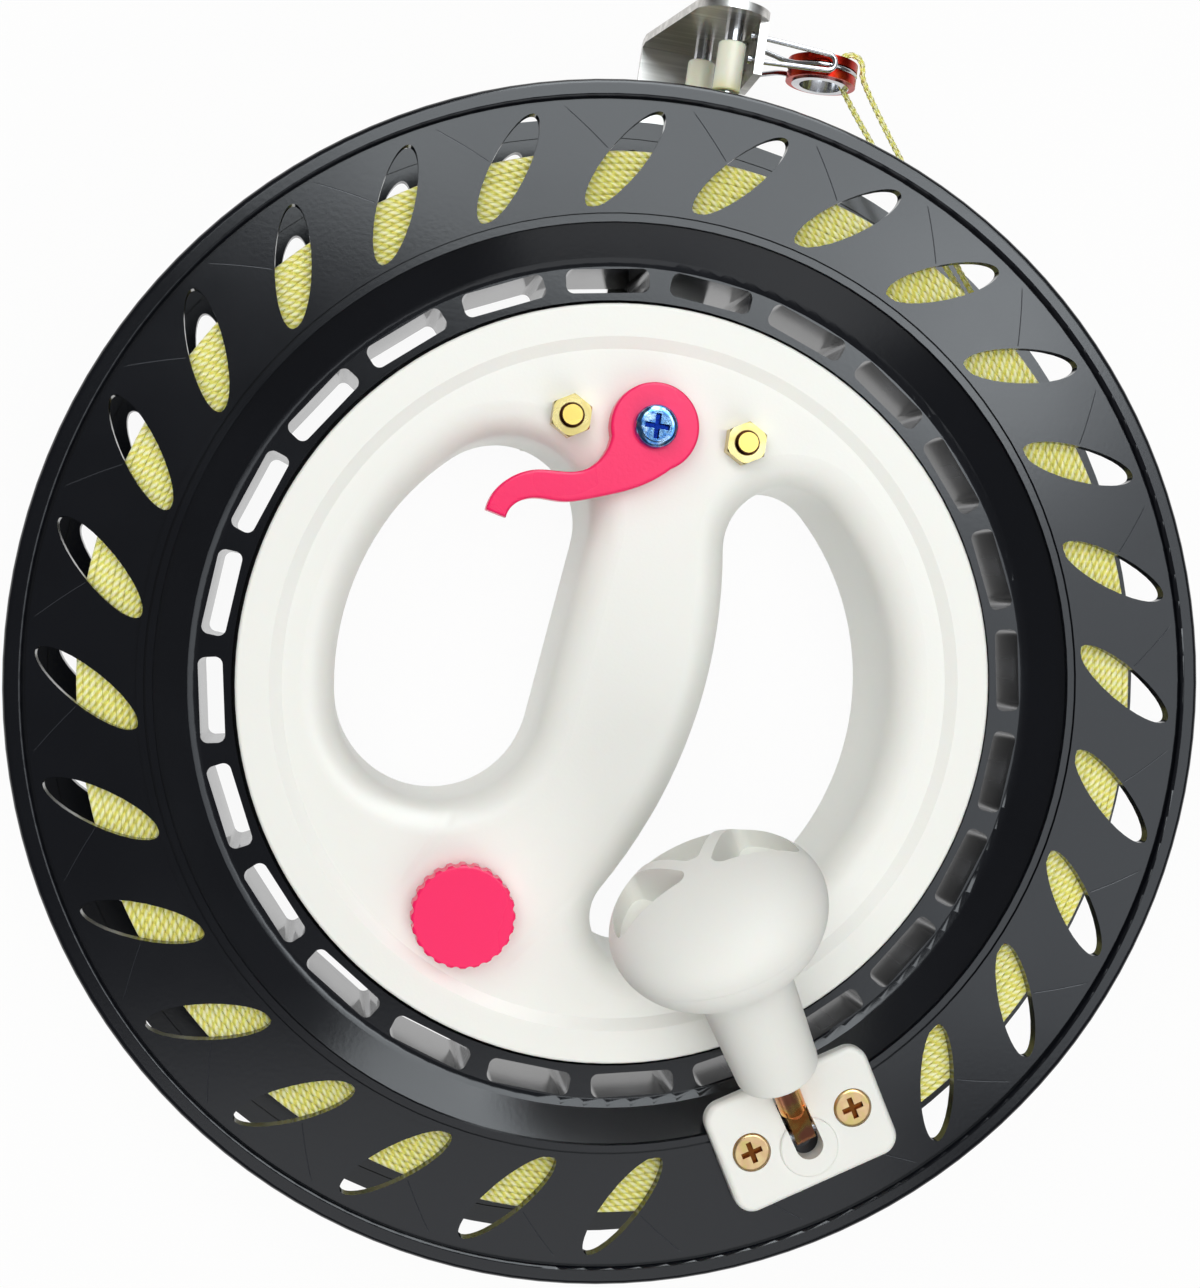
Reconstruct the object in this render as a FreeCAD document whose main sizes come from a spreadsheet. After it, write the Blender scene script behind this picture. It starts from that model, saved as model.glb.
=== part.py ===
# Kite line winder: a spool that spins on a large ball bearing round a hand grip,
# with a folding crank, a lock lever, a brake knob and a line guide on a steel bracket.
# The winder lies on its back: the spin axis is +Z, the crank side faces up, the guide
# bracket points along +Y, and the hub's flat rear face stands on z = 0.

import FreeCAD
import Part
import Sketcher
import math
import os

from FreeCAD import Placement, Rotation, Vector

SIZES = {
    # spool
    "flange_radius": (110.0, "outer radius of both flanges"),
    "front_face": (38.5, "height of the front flange's face"),
    "front_wall": (2.6, "thickness of the front flange"),
    "rear_face": (4.8, "height of the rear flange's rear face"),
    "rear_wall": (2.4, "thickness of the rear flange"),
    "rim_width": (3.4, "radial width of the rolled rim"),
    "rim_rise": (0.7, "how far the rim stands over the front face"),
    "rim_round": (1.2, "rounding of the rim's outer edge"),
    "rim_inner_round": (0.6, "rounding of the rim's inner edge"),
    "dish_round": (3.0, "fillet at the foot of the dish"),
    "groove_width": (0.6, "line between the rim and the face"),
    "groove_depth": (0.5, "depth of that line"),
    "bead_width": (1.2, "width of each bead inside the leaf holes"),
    "bead_gap": (0.4, "gap between the two beads"),
    "bead_rise": (0.5, "height of the beads over the face"),
    "dish_run": (6.8, "how far the edge of the dish lies outside the core"),
    "drum_wall": (2.4, "wall of the drum"),
    "core_radius": (77.4, "outer radius of the windowed core"),
    "core_wall": (6.6, "wall of the windowed core"),
    "core_face": (33.5, "height of the core's front face"),
    "core_rear": (11.5, "height of the core's rear face"),
    "web_wall": (2.5, "thickness of the rear closing web"),
    "leaf_gap": (0.2, "gap between the beads and the leaf holes"),
    "leaf_margin": (5.7, "distance from the leaf holes to the spool's edge"),
    "leaf_lean": (8.4, "angle between the two tips of a leaf hole"),
    "leaf_width": (6.5, "width of a leaf hole"),
    "leaf_start": (317.05, "angle of the first leaf hole"),
    "window_wall": (0.9, "wall of the core outside the windows"),
    "window_width": (4.4, "radial width of a window"),
    "window_length": (15.5, "length of a window along the core"),
    "window_corner": (1.4, "corner radius of a window"),
    "window_start": (10.0, "angle of the first window"),
    "land_width": (4.4, "radial width of the lock ring"),
    "land_bottom": (24.0, "height of the lock ring's rear face"),
    "land_height": (5.0, "height of the lock ring"),
    "notch_depth": (3.4, "depth of a lock notch"),
    "notch_width": (9.0, "width of a lock notch"),
    "rear_rise": (0.3, "how far the rear rim stands over both faces"),
    "spool_screw_radius": (1.0, "radius of a spool screw"),
    "spool_screw_head": (1.8, "head radius of a spool screw"),
    "spool_screw_length": (10.0, "length of a spool screw"),
    "line_margin": (12.2, "distance from the wound line to the spool's edge"),
    "line_diameter": (1.2, "thickness of the line"),
    # bearing
    "ball_radius": (3.0, "radius of a bearing ball"),
    "outer_race_wall": (4.0, "radial width of the outer race"),
    "inner_race_wall": (3.2, "radial width of the inner race"),
    "race_height": (9.0, "height of both races"),
    "race_gap": (1.8, "half the gap between the races"),
    "groove_play": (0.05, "play between ball and race groove"),
    "cage_play": (0.2, "play between cage and races"),
    "pocket_play": (0.15, "play between ball and cage pocket"),
    "clip_height": (1.2, "thickness of the retaining clip"),
    "clip_bite": (0.9, "depth of the clip's groove in the core"),
    # hub
    "hub_gap": (0.7, "gap between the hub's front disc and the core"),
    "hub_face": (35.3, "height of the hub disc's raised rim"),
    "hub_step": (1.0, "drop from the raised rim to the inner face"),
    "step_inset": (6.1, "width of the hub disc's raised rim"),
    "step_slope": (2.2, "width of the slope inside that rim"),
    "disc_wall": (2.2, "thickness of the hub disc's rim"),
    "cap_wall": (2.6, "thickness of the hub's faces"),
    "shoulder": (2.4, "how far the shoulders stand over that seat"),
    "skirt_wall": (2.6, "wall of the hub's skirt at the seat"),
    "hub_split": (18.0, "height where the two shells meet"),
    "rear_gap": (4.8, "gap between the rear shell and the core"),
    "rear_chamfer": (1.0, "chamfer round the rear shell"),
    "rear_rim": (3.4, "width of the rim outside the rear groove"),
    "rear_groove": (2.4, "width of the groove in the rear face"),
    "rear_groove_depth": (0.6, "depth of the groove in the rear face"),
    "rear_extra": (0.6, "extra thickness of the rear face over the front one"),
    "shell_head_sink": (0.6, "how deep the shell screws' heads are sunk"),
    "rim_screw_inset": (1.7, "distance from the outer shell screws to the skirt"),
    "low_screw_inset": (4.1, "distance from the lowest shell screw to the skirt"),
    "grip_screw_high": (14.6, "radius of the upper shell screw in the grip"),
    "grip_screw_low": (16.1, "radius of the lower shell screw in the grip"),
    "hole_inset": (5.0, "distance between the finger holes and the skirt"),
    "hole_wall": (3.2, "wall round the finger holes"),
    "hole_round": (6.0, "rounding of the holes' front edges"),
    "rear_round": (3.6, "rounding of the holes' rear edges"),
    "left_top_round": (15.4, "upper end radius of the left finger hole"),
    "left_top_turn": (132.0, "angle of that end's centre"),
    "left_low_round": (19.1, "lower end radius of the left finger hole"),
    "left_low_turn": (192.0, "angle of that end's centre"),
    "right_top_round": (11.8, "upper end radius of the right finger hole"),
    "right_top_turn": (46.2, "angle of that end's centre"),
    "right_low_round": (8.5, "lower end radius of the right finger hole"),
    "right_low_turn": (282.7, "angle of that end's centre, less a full turn"),
    "grip_bulge": (97.0, "radius of the grip's bulge into the right hole"),
    "shell_screw_grip": (10.0, "depth that a shell screw holds in the front shell"),
    "shell_head_radius": (2.8, "head radius of a shell screw"),
    "shell_head_height": (1.9, "head height of a shell screw"),
    "bolt_wall": (2.3, "wall round the bracket bolts"),
    "shell_screw_radius": (1.3, "radius of a shell screw's thread"),
    "boss_wall": (1.9, "wall of a screw boss"),
    # guide bracket
    "sheet": (1.6, "thickness of the bracket's steel sheet"),
    "arm_bottom": (2.0, "height of the arm's rear face"),
    "arm_width": (19.2, "width of the arm"),
    "arm_centre": (0.4, "x of the arm's middle"),
    "arm_reach": (15.5, "distance from the spool's edge to the upright"),
    "foot_width": (40.0, "width of the bracket's foot"),
    "foot_depth": (10.0, "length of the bracket's foot along the arm"),
    "foot_inset": (2.9, "distance between the foot and the hub's skirt"),
    "upright_side": (33.4, "height of the upright's corners"),
    "upright_top": (37.8, "height of the upright's arched top"),
    "upright_taper": (5.5, "how much the upright narrows on its left"),
    "ear_depth": (10.0, "how far the ear reaches in from the upright"),
    "ear_bottom": (18.5, "height of the ear's rear edge"),
    "bolt_spread": (16.4, "x of the bracket bolts"),
    "bolt_inset": (2.9, "distance from the foot's lower edge to the bolts"),
    "bolt_radius": (2.0, "radius of an M4 bolt"),
    "bolt_play": (0.15, "play round a bolt"),
    "bolt_head_radius": (3.7, "head radius of a bracket bolt"),
    "bolt_head_height": (1.9, "head height of a bracket bolt"),
    "bolt_end": (1.2, "length of a bolt past its nut"),
    "nut_flats": (7.0, "width across the flats of an M4 nut"),
    "nut_height": (3.2, "height of an M4 nut"),
    # rollers
    "roller_radius": (2.6, "radius of a guide roller"),
    "roller_length": (9.2, "length of a guide roller"),
    "roller_gap": (2.2, "distance from the spool's edge to the rollers"),
    "roller_play": (0.06, "play between roller and pin"),
    "journal_radius": (1.2, "radius of a roller pin inside the roller"),
    "post_radius": (1.75, "radius of a roller pin over the roller"),
    "rivet_radius": (1.2, "radius of a roller pin in the bracket"),
    "rear_roller_x": (1.4, "x of the rear roller"),
    "rear_roller_z": (14.4, "height of the rear roller"),
    "front_roller_x": (4.4, "x of the front roller"),
    "front_roller_z": (29.7, "height of the front roller"),
    # guide ring
    "ring_x": (23.5, "x of the guide ring"),
    "ring_inset": (4.5, "distance from the upright to the ring's middle"),
    "ring_z": (22.5, "height of the guide ring"),
    "ring_radius": (6.7, "outer radius of the guide ring"),
    "ring_width": (4.2, "width of the guide ring"),
    "wire_radius": (0.5, "radius of the steel wire"),
    "wire_circle": (6.3, "radius of the wire's bow round the ring"),
    "eyelet_bore": (4.0, "bore of the ring's steel eyelet"),
    "eyelet_wall": (1.0, "wall of the eyelet"),
    "wire_lead": (3.0, "straight end of each wire through the bracket's ear"),
    "wire_tail": (1.0, "length of a wire's end inside the ear"),
    "loop_bend": (1.5, "bend radius at the long loop's end"),
    "bow_run": (4.6, "straight run of the bow in the ring's plane"),
    "loop_reach": (0.6, "how far the long loop reaches past the ring's centre"),
    "wire_play": (0.06, "play between the wire and the ring's groove"),
    "bow_spread": (2.6, "half the spread of the bow's ends at the bracket"),
    "loop_z": (30.5, "height of the long wire loop"),
    "loop_half": (2.2, "half the width of the long wire loop"),
    # crank
    "crank_angle": (-60.0, "angle of the crank's base on the flange"),
    "crank_yaw": (2.8, "how far the crank folds to one side"),
    "crank_fold": (23.0, "height angle of the folded crank"),
    "plate_shift": (7.4, "how far the base plate lies inside the middle of the flange's face"),
    "plate_long": (32.6, "length of the base plate"),
    "plate_short": (21.6, "width of the base plate"),
    "plate_height": (3.6, "thickness of the base plate"),
    "plate_corner": (3.6, "corner radius of the base plate"),
    "plate_edge": (1.2, "rounding of the base plate's upper edges"),
    "base_head_height": (1.1, "height of a base screw's head"),
    "base_head_sink": (0.9, "how deep a base screw's head is sunk"),
    "channel_floor": (1.8, "height of the slot's floor near the hub"),
    "plate_relief": (0.7, "relief under the plate over the beads"),
    "screw_spread": (10.2, "offset of the base screws"),
    "base_screw_radius": (1.6, "radius of a base screw"),
    "base_head_radius": (3.45, "head radius of a base screw"),
    "boss_radius": (5.5, "radius of the raised boss on the base"),
    "boss_shift": (3.4, "offset of that boss from the plate's middle"),
    "boss_rise": (0.6, "height of that boss over the plate"),
    "slot_width": (5.2, "width of the base's slot"),
    "slot_inner": (6.6, "length of the slot's deep part from the hinge inwards"),
    "slot_outer": (5.6, "slot length from the plate's middle outwards"),
    "pivot_shift": (0.7, "offset of the hinge pin from the plate's middle"),
    "pivot_height": (2.2, "height of the hinge pin over the flange"),
    "pivot_radius": (1.0, "radius of the hinge pin"),
    "pivot_play": (0.05, "play round the hinge pin"),
    "pivot_length": (9.0, "length of the hinge pin"),
    "shaft_radius": (2.5, "radius of the crank shaft"),
    "tongue_width": (3.8, "width of the shaft's flat tongue"),
    "tongue_round": (1.9, "end radius of the tongue"),
    "tongue_length": (6.0, "length of the tongue from the hinge pin"),
    "shaft_length": (44.0, "length of the shaft from the hinge pin"),
    "snap_radius": (0.5, "wire radius of the knob's snap ring"),
    "knob_start": (15.7, "distance from the pivot to the knob"),
    "knob_centre": (52.2, "distance from the pivot to the ball's centre"),
    "knob_radius": (19.45, "radius of the knob's ball"),
    "knob_rise": (11.1, "height of the knob's dome over the ball's centre"),
    "knob_drop": (13.6, "depth of the knob's ball under its centre"),
    "stem_radius": (8.7, "radius of the knob's stem at the neck"),
    "stem_end_radius": (7.75, "radius of the knob's stem at its end"),
    "knob_play": (0.08, "play between knob and shaft"),
    "pocket_wall": (2.1, "wall between the knob's pockets and its widest part"),
    "pocket_depth": (10.0, "depth of the knob's pockets under the top of its dome"),
    "pocket_round": (1.8, "corner rounding of the pockets"),
    "rib_width": (2.4, "width of the ribs between the pockets"),
    "rib_spread": (60.0, "angle between the two ribs"),
    "pocket_past": (1.5, "how far the pockets reach past the knob's axis"),
    "neck_turn": (48.0, "angle down the ball at which the fillet to the stem starts"),
    "knob_edge": (1.0, "rounding of the stem's end edge"),
    "dome_flat": (1.5, "radius of the small flat on top of the knob's dome"),
    # lock
    "pivot_x": (-1.0, "x of the lock lever's pivot"),
    "pivot_inset": (9.8, "distance between the lock lever's pivot and the skirt"),
    "lever_height": (3.6, "thickness of the lock lever"),
    "lever_head": (8.2, "radius of the lever's round head"),
    "lever_reach": (28.5, "how far the lever's tip reaches from its pivot"),
    "lever_lift": (0.2, "gap under the lever"),
    "lever_edge": (0.6, "rounding of the lever's upper edges"),
    "lever_screw_radius": (2.0, "radius of the lever's M4 screw"),
    "lever_screw_head": (4.0, "head radius of the lever's screw"),
    "lever_head_height": (2.2, "head height of the lever's screw"),
    "key_height": (1.6, "height of the flats on a stem's end"),
    "key_half": (3.0, "half the width across those flats"),
    "cam_radius": (6.6, "radius of the lever's cam disc"),
    "cam_height": (2.6, "thickness of the lever's cam disc"),
    "cam_gap": (0.3, "gap over the cam disc"),
    "thin_nut": (2.0, "height of the lever's thin nut"),
    "pawl_wall": (1.2, "wall round the pawl's slot"),
    "stem_play": (0.1, "play of the lever's stem in the hub"),
    "lever_stem": (4.0, "radius of that stem"),
    "crank_arm": (5.0, "offset of the eccentric pin"),
    "lock_swing": (40.0, "swing of the lock lever"),
    "eccentric_radius": (1.3, "radius of the eccentric pin"),
    "pawl_width": (8.0, "width of the lock pawl"),
    "pawl_free": (1.2, "gap between the free pawl and the lock ring"),
    "pawl_bottom": (24.6, "height of the pawl's rear face"),
    "pawl_height": (3.6, "thickness of the pawl"),
    "pawl_cheek": (5.8, "y from the lever's pivot to the pawl's cheeks"),
    "rib_first": (-3.6, "x of the first rib under the pawl, from the pivot"),
    "rib_second": (3.2, "x of the second rib under the pawl, from the pivot"),
    "slide_play": (0.15, "play round the sliding parts"),
    # brake
    "brake_inset": (6.46, "distance between the brake knob and the skirt"),
    "brake_place": (243.03, "angle of the brake knob round the hub"),
    "brake_radius": (9.5, "radius of the brake knob"),
    "brake_height": (4.4, "height of the brake knob"),
    "cam_low": (4.2, "smallest radius of the brake cam"),
    "cam_rise": (1.0, "rise of the brake cam over its turn"),
    "brake_key": (5.0, "width of the square between brake knob and cam"),
    "brake_screw_radius": (1.2, "radius of the brake cam's screw"),
    "washer_radius": (4.0, "radius of the brake cam's washer"),
    "washer_height": (0.8, "thickness of the brake cam's washer"),
    "brake_play": (0.1, "play between brake cam and slide"),
    "shoe_back": (9.4, "length of the brake slide behind the knob's axis"),
    "carrier_width": (2.9, "radial width of the pad's carrier"),
    "pad_play": (0.06, "play left between pad and core when braked"),
    "brake_journal": (2.0, "radius of the brake cam's lower journal"),
    "guide_floor": (1.8, "floor under the brake slide"),
    "guide_back": (9.8, "length of the brake channel behind the knob's axis"),
    "shoe_height": (2.0, "thickness of the brake slide"),
    "shoe_bottom": (29.6, "height of the brake slide's rear face"),
    "shoe_width": (15.6, "width of the brake slide"),
    "pad_width": (2.34, "radial width of the brake pad"),
    "pad_angle": (14.0, "angle that the brake pad covers"),
    "pad_height": (3.0, "height of the brake pad"),
}

LEAF_PLACES = 28      # leaf holes would fill this many places, less the two under the crank
LEAF_COUNT = 26
WINDOW_COUNT = 24
NOTCH_COUNT = 24
BALL_COUNT = 24
SPOOL_SCREW_COUNT = 8
KNOB_TEETH = 24       # serrations round the brake knob
ROUNDED_SHARE = 0.45  # share of the shorter run that a rounded corner takes on each side
HEAD_SPREAD = 1.7     # a wire's upset head over the wire, across
HEAD_THICKNESS = 1.4  # and along it, both in wire radii
FULL_TURN = 360.0
AXIS = Vector(0, 0, 1)
ORIGIN = Vector(0, 0, 0)

doc = FreeCAD.newDocument("KiteLineWinder")
sheet = doc.addObject("Spreadsheet::Sheet", "Sizes")
parts = []


class Size:
    # A length or an angle: its number, and the sheet expression that gives it.
    def __init__(self, value, text):
        self.value = float(value)
        self.text = text

    def __add__(self, other):
        return combined(self, "+", other)

    def __radd__(self, other):
        return combined(other, "+", self)

    def __sub__(self, other):
        return combined(self, "-", other)

    def __rsub__(self, other):
        return combined(other, "-", self)

    def __mul__(self, other):
        return combined(self, "*", other)

    def __rmul__(self, other):
        return combined(other, "*", self)

    def __truediv__(self, other):
        return combined(self, "/", other)

    def __neg__(self):
        return combined(0, "-", self)

    def __float__(self):
        return self.value


def sized(number):
    if isinstance(number, Size):
        return number
    return Size(number, repr(float(number)))


def combined(first, sign, second):
    first = sized(first)
    second = sized(second)
    if sign == "+":
        value = first.value + second.value
    elif sign == "-":
        value = first.value - second.value
    elif sign == "*":
        value = first.value * second.value
    else:
        value = first.value / second.value
    return Size(value, "(%s %s %s)" % (first.text, sign, second.text))


def cosine(angle):
    angle = sized(angle)
    return Size(math.cos(math.radians(angle.value)), "cos(%s)" % angle.text)


def sine(angle):
    angle = sized(angle)
    return Size(math.sin(math.radians(angle.value)), "sin(%s)" % angle.text)


def fill_sheet():
    for row, (alias, (number, note)) in enumerate(SIZES.items(), start=1):
        sheet.set("A%d" % row, alias)
        sheet.set("B%d" % row, repr(number))
        sheet.set("C%d" % row, note)
        sheet.setAlias("B%d" % row, alias)
    doc.recompute()


def s(alias):
    return Size(SIZES[alias][0], "Sizes.%s" % alias)


# ---- document objects whose sizes follow the sheet ----

def bind(item, **values):
    for name, value in values.items():
        value = sized(value)
        setattr(item, name, value.value)
        item.setExpression(name, value.text)


def put(item, place, turn=None):
    place = [sized(value) for value in place]
    item.Placement = Placement(Vector(*[value.value for value in place]), turn or Rotation())
    for name, value in zip("xyz", place):
        item.setExpression(".Placement.Base.%s" % name, value.text)


def keep(item, label):
    item.Label = label
    parts.append(item)
    return item


ALONG = {"x": Rotation(Vector(0, 1, 0), 90), "y": Rotation(Vector(1, 0, 0), -90), "z": Rotation()}


def cylinder(radius, height, place=(0, 0, 0), along="z"):
    item = doc.addObject("Part::Cylinder", "rod")
    bind(item, Radius=radius, Height=height)
    put(item, place, ALONG[along])
    return item


def box(low, high, turn=None):
    item = doc.addObject("Part::Box", "block")
    spans = [top - sized(bottom) for bottom, top in zip(low, [sized(value) for value in high])]
    bind(item, Length=spans[0], Width=spans[1], Height=spans[2])
    put(item, low, turn)
    return item


def ring_bar(centre_radius, bar_radius, place=(0, 0, 0)):
    item = doc.addObject("Part::Torus", "ring_bar")
    bind(item, Radius1=centre_radius, Radius2=bar_radius)
    put(item, place)
    return item


def joined(*items):
    item = doc.addObject("Part::MultiFuse", "joined")
    item.Shapes = list(items)
    return item


def cut(base, *tools):
    item = doc.addObject("Part::Cut", "cut")
    item.Base = base
    item.Tool = tools[0] if len(tools) == 1 else joined(*tools)
    return item


def overlap(first, second):
    item = doc.addObject("Part::MultiCommon", "overlap")
    item.Shapes = [first, second]
    return item


def group(label, items):
    item = doc.addObject("Part::Compound", "group")
    item.Links = items
    return keep(item, label)


def solid(shape, name="solid"):
    item = doc.addObject("Part::Feature", name)
    item.Shape = shape
    return item


def shape_of(item):
    doc.recompute()
    return item.Shape.copy()


def around(item, count, start, step):
    # Copies of a piece turned round the spin axis.
    shape = shape_of(item)
    copies = []
    for index in range(count):
        copy = shape.copy()
        copy.rotate(ORIGIN, AXIS, float(start) + index * float(step))
        copies.append(copy)
    return solid(Part.makeCompound(copies), "copies")


def plane_of(body, role):
    for feature in body.Origin.OriginFeatures:
        if feature.Role == role:
            return feature
    raise ValueError(role)


def new_sketch(body, role="XY_Plane", lift=None):
    sketch = body.newObject("Sketcher::SketchObject", "sketch")
    sketch.AttachmentSupport = (plane_of(body, role), "")
    sketch.MapMode = "FlatFace"
    if lift is not None:
        sketch.setExpression(".AttachmentOffset.Base.z", sized(lift).text)
    return sketch


def pin_point(sketch, edge, end, point):
    for kind, value in zip(("DistanceX", "DistanceY"), point):
        value = sized(value)
        index = sketch.addConstraint(Sketcher.Constraint(kind, -1, 1, edge, end, value.value))
        sketch.setExpression("Constraints[%d]" % index, value.text)


def draw_outline(sketch, points):
    # A closed outline of straight edges, each corner held by two sizes.
    points = [tuple(sized(value) for value in point) for point in points]
    corners = [Vector(x.value, y.value, 0) for x, y in points]
    count = len(points)
    for index in range(count):
        sketch.addGeometry(Part.LineSegment(corners[index], corners[(index + 1) % count]))
    for index in range(count):
        sketch.addConstraint(Sketcher.Constraint("Coincident", index, 2, (index + 1) % count, 1))
    for index, point in enumerate(points):
        pin_point(sketch, index, 1, point)


def turned(points, label="turned"):
    # A body turned on a lathe: (radius, height) corners spun round Z.
    body = doc.addObject("PartDesign::Body", label)
    sketch = new_sketch(body, "XZ_Plane")
    draw_outline(sketch, points)
    feature = body.newObject("PartDesign::Revolution", "revolution")
    feature.Profile = sketch
    feature.ReferenceAxis = (sketch, ["V_Axis"])
    feature.Angle = FULL_TURN
    body.Tip = feature
    return body


def plate(points, bottom, height, label="plate"):
    # A flat body: an outline in the XY plane raised to a height.
    body = doc.addObject("PartDesign::Body", label)
    sketch = new_sketch(body, "XY_Plane", bottom)
    draw_outline(sketch, points)
    pad(body, sketch, height)
    return body


def pad(body, sketch, length):
    feature = body.newObject("PartDesign::Pad", "pad")
    feature.Profile = sketch
    bind(feature, Length=length)
    body.Tip = feature
    return feature


def edges_where(item, test):
    # Names of the edges whose box passes the test.
    doc.recompute()
    names = []
    for number, edge in enumerate(item.Shape.Edges, start=1):
        if test(edge):
            names.append("Edge%d" % number)
    return names


def round_edges(body, radius, test):
    feature = body.Tip
    names = edges_where(feature, test)
    rounding = body.newObject("PartDesign::Fillet", "fillet")
    rounding.Base = (feature, names)
    bind(rounding, Radius=radius)
    body.Tip = rounding
    return rounding


def rounded(item, radius, test):
    # Part fillet on the edges that pass the test.
    doc.recompute()
    edges = []
    for number, edge in enumerate(item.Shape.Edges, start=1):
        if test(edge):
            edges.append((number, float(radius), float(radius)))
    rounding = doc.addObject("Part::Fillet", "rounded")
    rounding.Base = item
    rounding.Edges = edges
    return rounding


def is_circle(edge, radius):
    return (not edge.Degenerated and isinstance(edge.Curve, Part.Circle)
            and abs(edge.Curve.Radius - float(radius)) < 0.01)


def circle_at(radius, height):
    # Test for a full circle round the spin axis at a radius and height.
    def test(edge):
        return (is_circle(edge, radius) and abs(edge.BoundBox.ZMin - float(height)) < 0.01
                and edge.BoundBox.ZLength < 0.01)
    return test


# ---- heights and radii that several pieces share ----

spool_play = 0.2       # gap between the line and the flanges, and between drum and core
face = s("front_face")
flange_back = face - s("front_wall")
rear_inside = s("rear_face") + s("rear_wall")
rim_inner = s("flange_radius") - s("rim_width")
land_top = s("land_bottom") + s("land_height")
race_bottom = s("land_bottom") - s("race_height")
ball_height = s("land_bottom") - s("race_height") / 2
drum_top = s("core_face") - s("front_wall")
dish_radius = s("core_radius") + s("dish_run")
drum_inner = s("core_radius") + spool_play
drum_radius = drum_inner + s("drum_wall")
core_bore = s("core_radius") - s("core_wall")
window_radius = s("core_radius") - s("window_wall") - s("window_width") / 2
land_bore = core_bore - s("land_width")
line_radius = s("flange_radius") - s("line_margin")
beads_end = dish_radius + 2 * s("bead_width") + s("bead_gap")
ball_circle = core_bore - s("outer_race_wall") - s("race_gap")
seat_radius = ball_circle - s("race_gap") - s("inner_race_wall")
hub_radius = core_bore - s("hub_gap")
step_outer = hub_radius - s("step_inset")
step_inner = step_outer - s("step_slope")
rear_radius = core_bore - s("rear_gap")
web_bottom = s("core_rear") - s("web_wall")
cap_face = s("hub_face") - s("hub_step")
cap_inside = cap_face - s("cap_wall")
skirt_outer = seat_radius + s("shoulder")
skirt_inner = seat_radius - s("skirt_wall")
rear_inside_face = s("cap_wall") + s("rear_extra")
hole_reach = skirt_inner - s("hole_inset")
arm_top = s("arm_bottom") + s("sheet")
foot_high = skirt_inner - s("foot_inset")
foot_low = foot_high - s("foot_depth")
bolt_y = foot_low + s("bolt_inset")
arm_bend = s("flange_radius") + s("arm_reach")
roller_low = s("flange_radius") + s("roller_gap")
ring_y = arm_bend - s("ring_inset")
plate_centre = (dish_radius + rim_inner) / 2 - s("plate_shift")
pivot_y = skirt_inner - s("pivot_inset")
pawl_tip = land_bore - s("pawl_free")
brake_distance = skirt_inner - s("brake_inset")
brake_x = brake_distance * cosine(s("brake_place"))
brake_y = brake_distance * sine(s("brake_place"))


# ---- spool ----

def make_front_flange():
    inner_bead = dish_radius + s("bead_width")
    outer_bead = inner_bead + s("bead_gap")
    groove_inner = rim_inner - s("groove_width")
    rim_top = face + s("rim_rise")
    bead_top = face + s("bead_rise")
    clip_bottom = race_bottom - s("clip_height")
    clip_groove = core_bore + s("clip_bite")
    dish_foot = s("core_radius") + 0.4
    body = turned([
        (s("flange_radius"), flange_back), (s("flange_radius"), rim_top),
        (rim_inner, rim_top), (rim_inner, face - s("groove_depth")),
        (groove_inner, face - s("groove_depth")), (groove_inner, face),
        (beads_end, face), (beads_end, bead_top), (outer_bead, bead_top), (outer_bead, face),
        (inner_bead, face), (inner_bead, bead_top), (dish_radius, bead_top), (dish_radius, face - 1.0),
        (dish_foot, s("core_face")), (core_bore, s("core_face")),
        (core_bore, land_top), (land_bore, land_top),
        (land_bore, s("land_bottom")), (core_bore, s("land_bottom")),
        (core_bore, race_bottom), (clip_groove, race_bottom),
        (clip_groove, clip_bottom), (core_bore, clip_bottom),
        (core_bore, s("core_rear")), (s("core_radius"), s("core_rear")),
        (s("core_radius"), drum_top), (drum_radius + 0.4, drum_top),
        (dish_radius + 1.2, flange_back)], "flange_turning")
    round_edges(body, s("rim_round"), circle_at(s("flange_radius"), rim_top))
    round_edges(body, s("rim_inner_round"), circle_at(rim_inner, rim_top))
    round_edges(body, s("dish_round"), circle_at(dish_foot, s("core_face")))
    leaves = around(leaf_tool(flange_back, face), LEAF_COUNT, s("leaf_start"), FULL_TURN / LEAF_PLACES)
    windows = around(window_tool(), WINDOW_COUNT, s("window_start"), FULL_TURN / WINDOW_COUNT)
    notches = around(notch_tool(), NOTCH_COUNT, pawl_angle(), FULL_TURN / NOTCH_COUNT)
    pilots = around(spool_screw_hole(s("spool_screw_radius")), SPOOL_SCREW_COUNT,
                    screw_start(), FULL_TURN / SPOOL_SCREW_COUNT)
    base_holes = [cylinder(s("base_screw_radius"), s("front_wall") + 1,
                           place_on_flange(0, side, -s("front_wall") - 0.5))
                  for side in (s("screw_spread"), -s("screw_spread"))]
    flange = cut(cut(cut(cut(body, leaves), windows), notches), pilots)
    return keep(cut(flange, *base_holes), "front_flange")


def leaf_tool(low, high):
    # One leaf hole through a wall: an ellipse through two tips, one turned ahead of the other.
    half_lean = math.radians(float(s("leaf_lean")) / 2)
    inner = float(beads_end + s("leaf_gap"))
    outer = float(s("flange_radius") - s("leaf_margin"))
    inner_tip = Vector(inner * math.cos(half_lean), inner * math.sin(half_lean), 0)
    outer_tip = Vector(outer * math.cos(half_lean), -outer * math.sin(half_lean), 0)
    middle = (inner_tip + outer_tip) / 2
    long_half = (outer_tip - inner_tip).Length / 2
    ellipse = Part.Ellipse(middle, long_half, float(s("leaf_width")) / 2)
    ellipse.AngleXU = 0
    edge = ellipse.toShape()
    lean = math.degrees(math.atan2(outer_tip.y - inner_tip.y, outer_tip.x - inner_tip.x))
    edge.rotate(middle, AXIS, lean)
    leaf = Part.Face(Part.Wire(edge)).extrude(Vector(0, 0, float(high) - float(low) + 2))
    leaf.translate(Vector(0, 0, float(low) - 1))
    return solid(leaf, "leaf")


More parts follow.
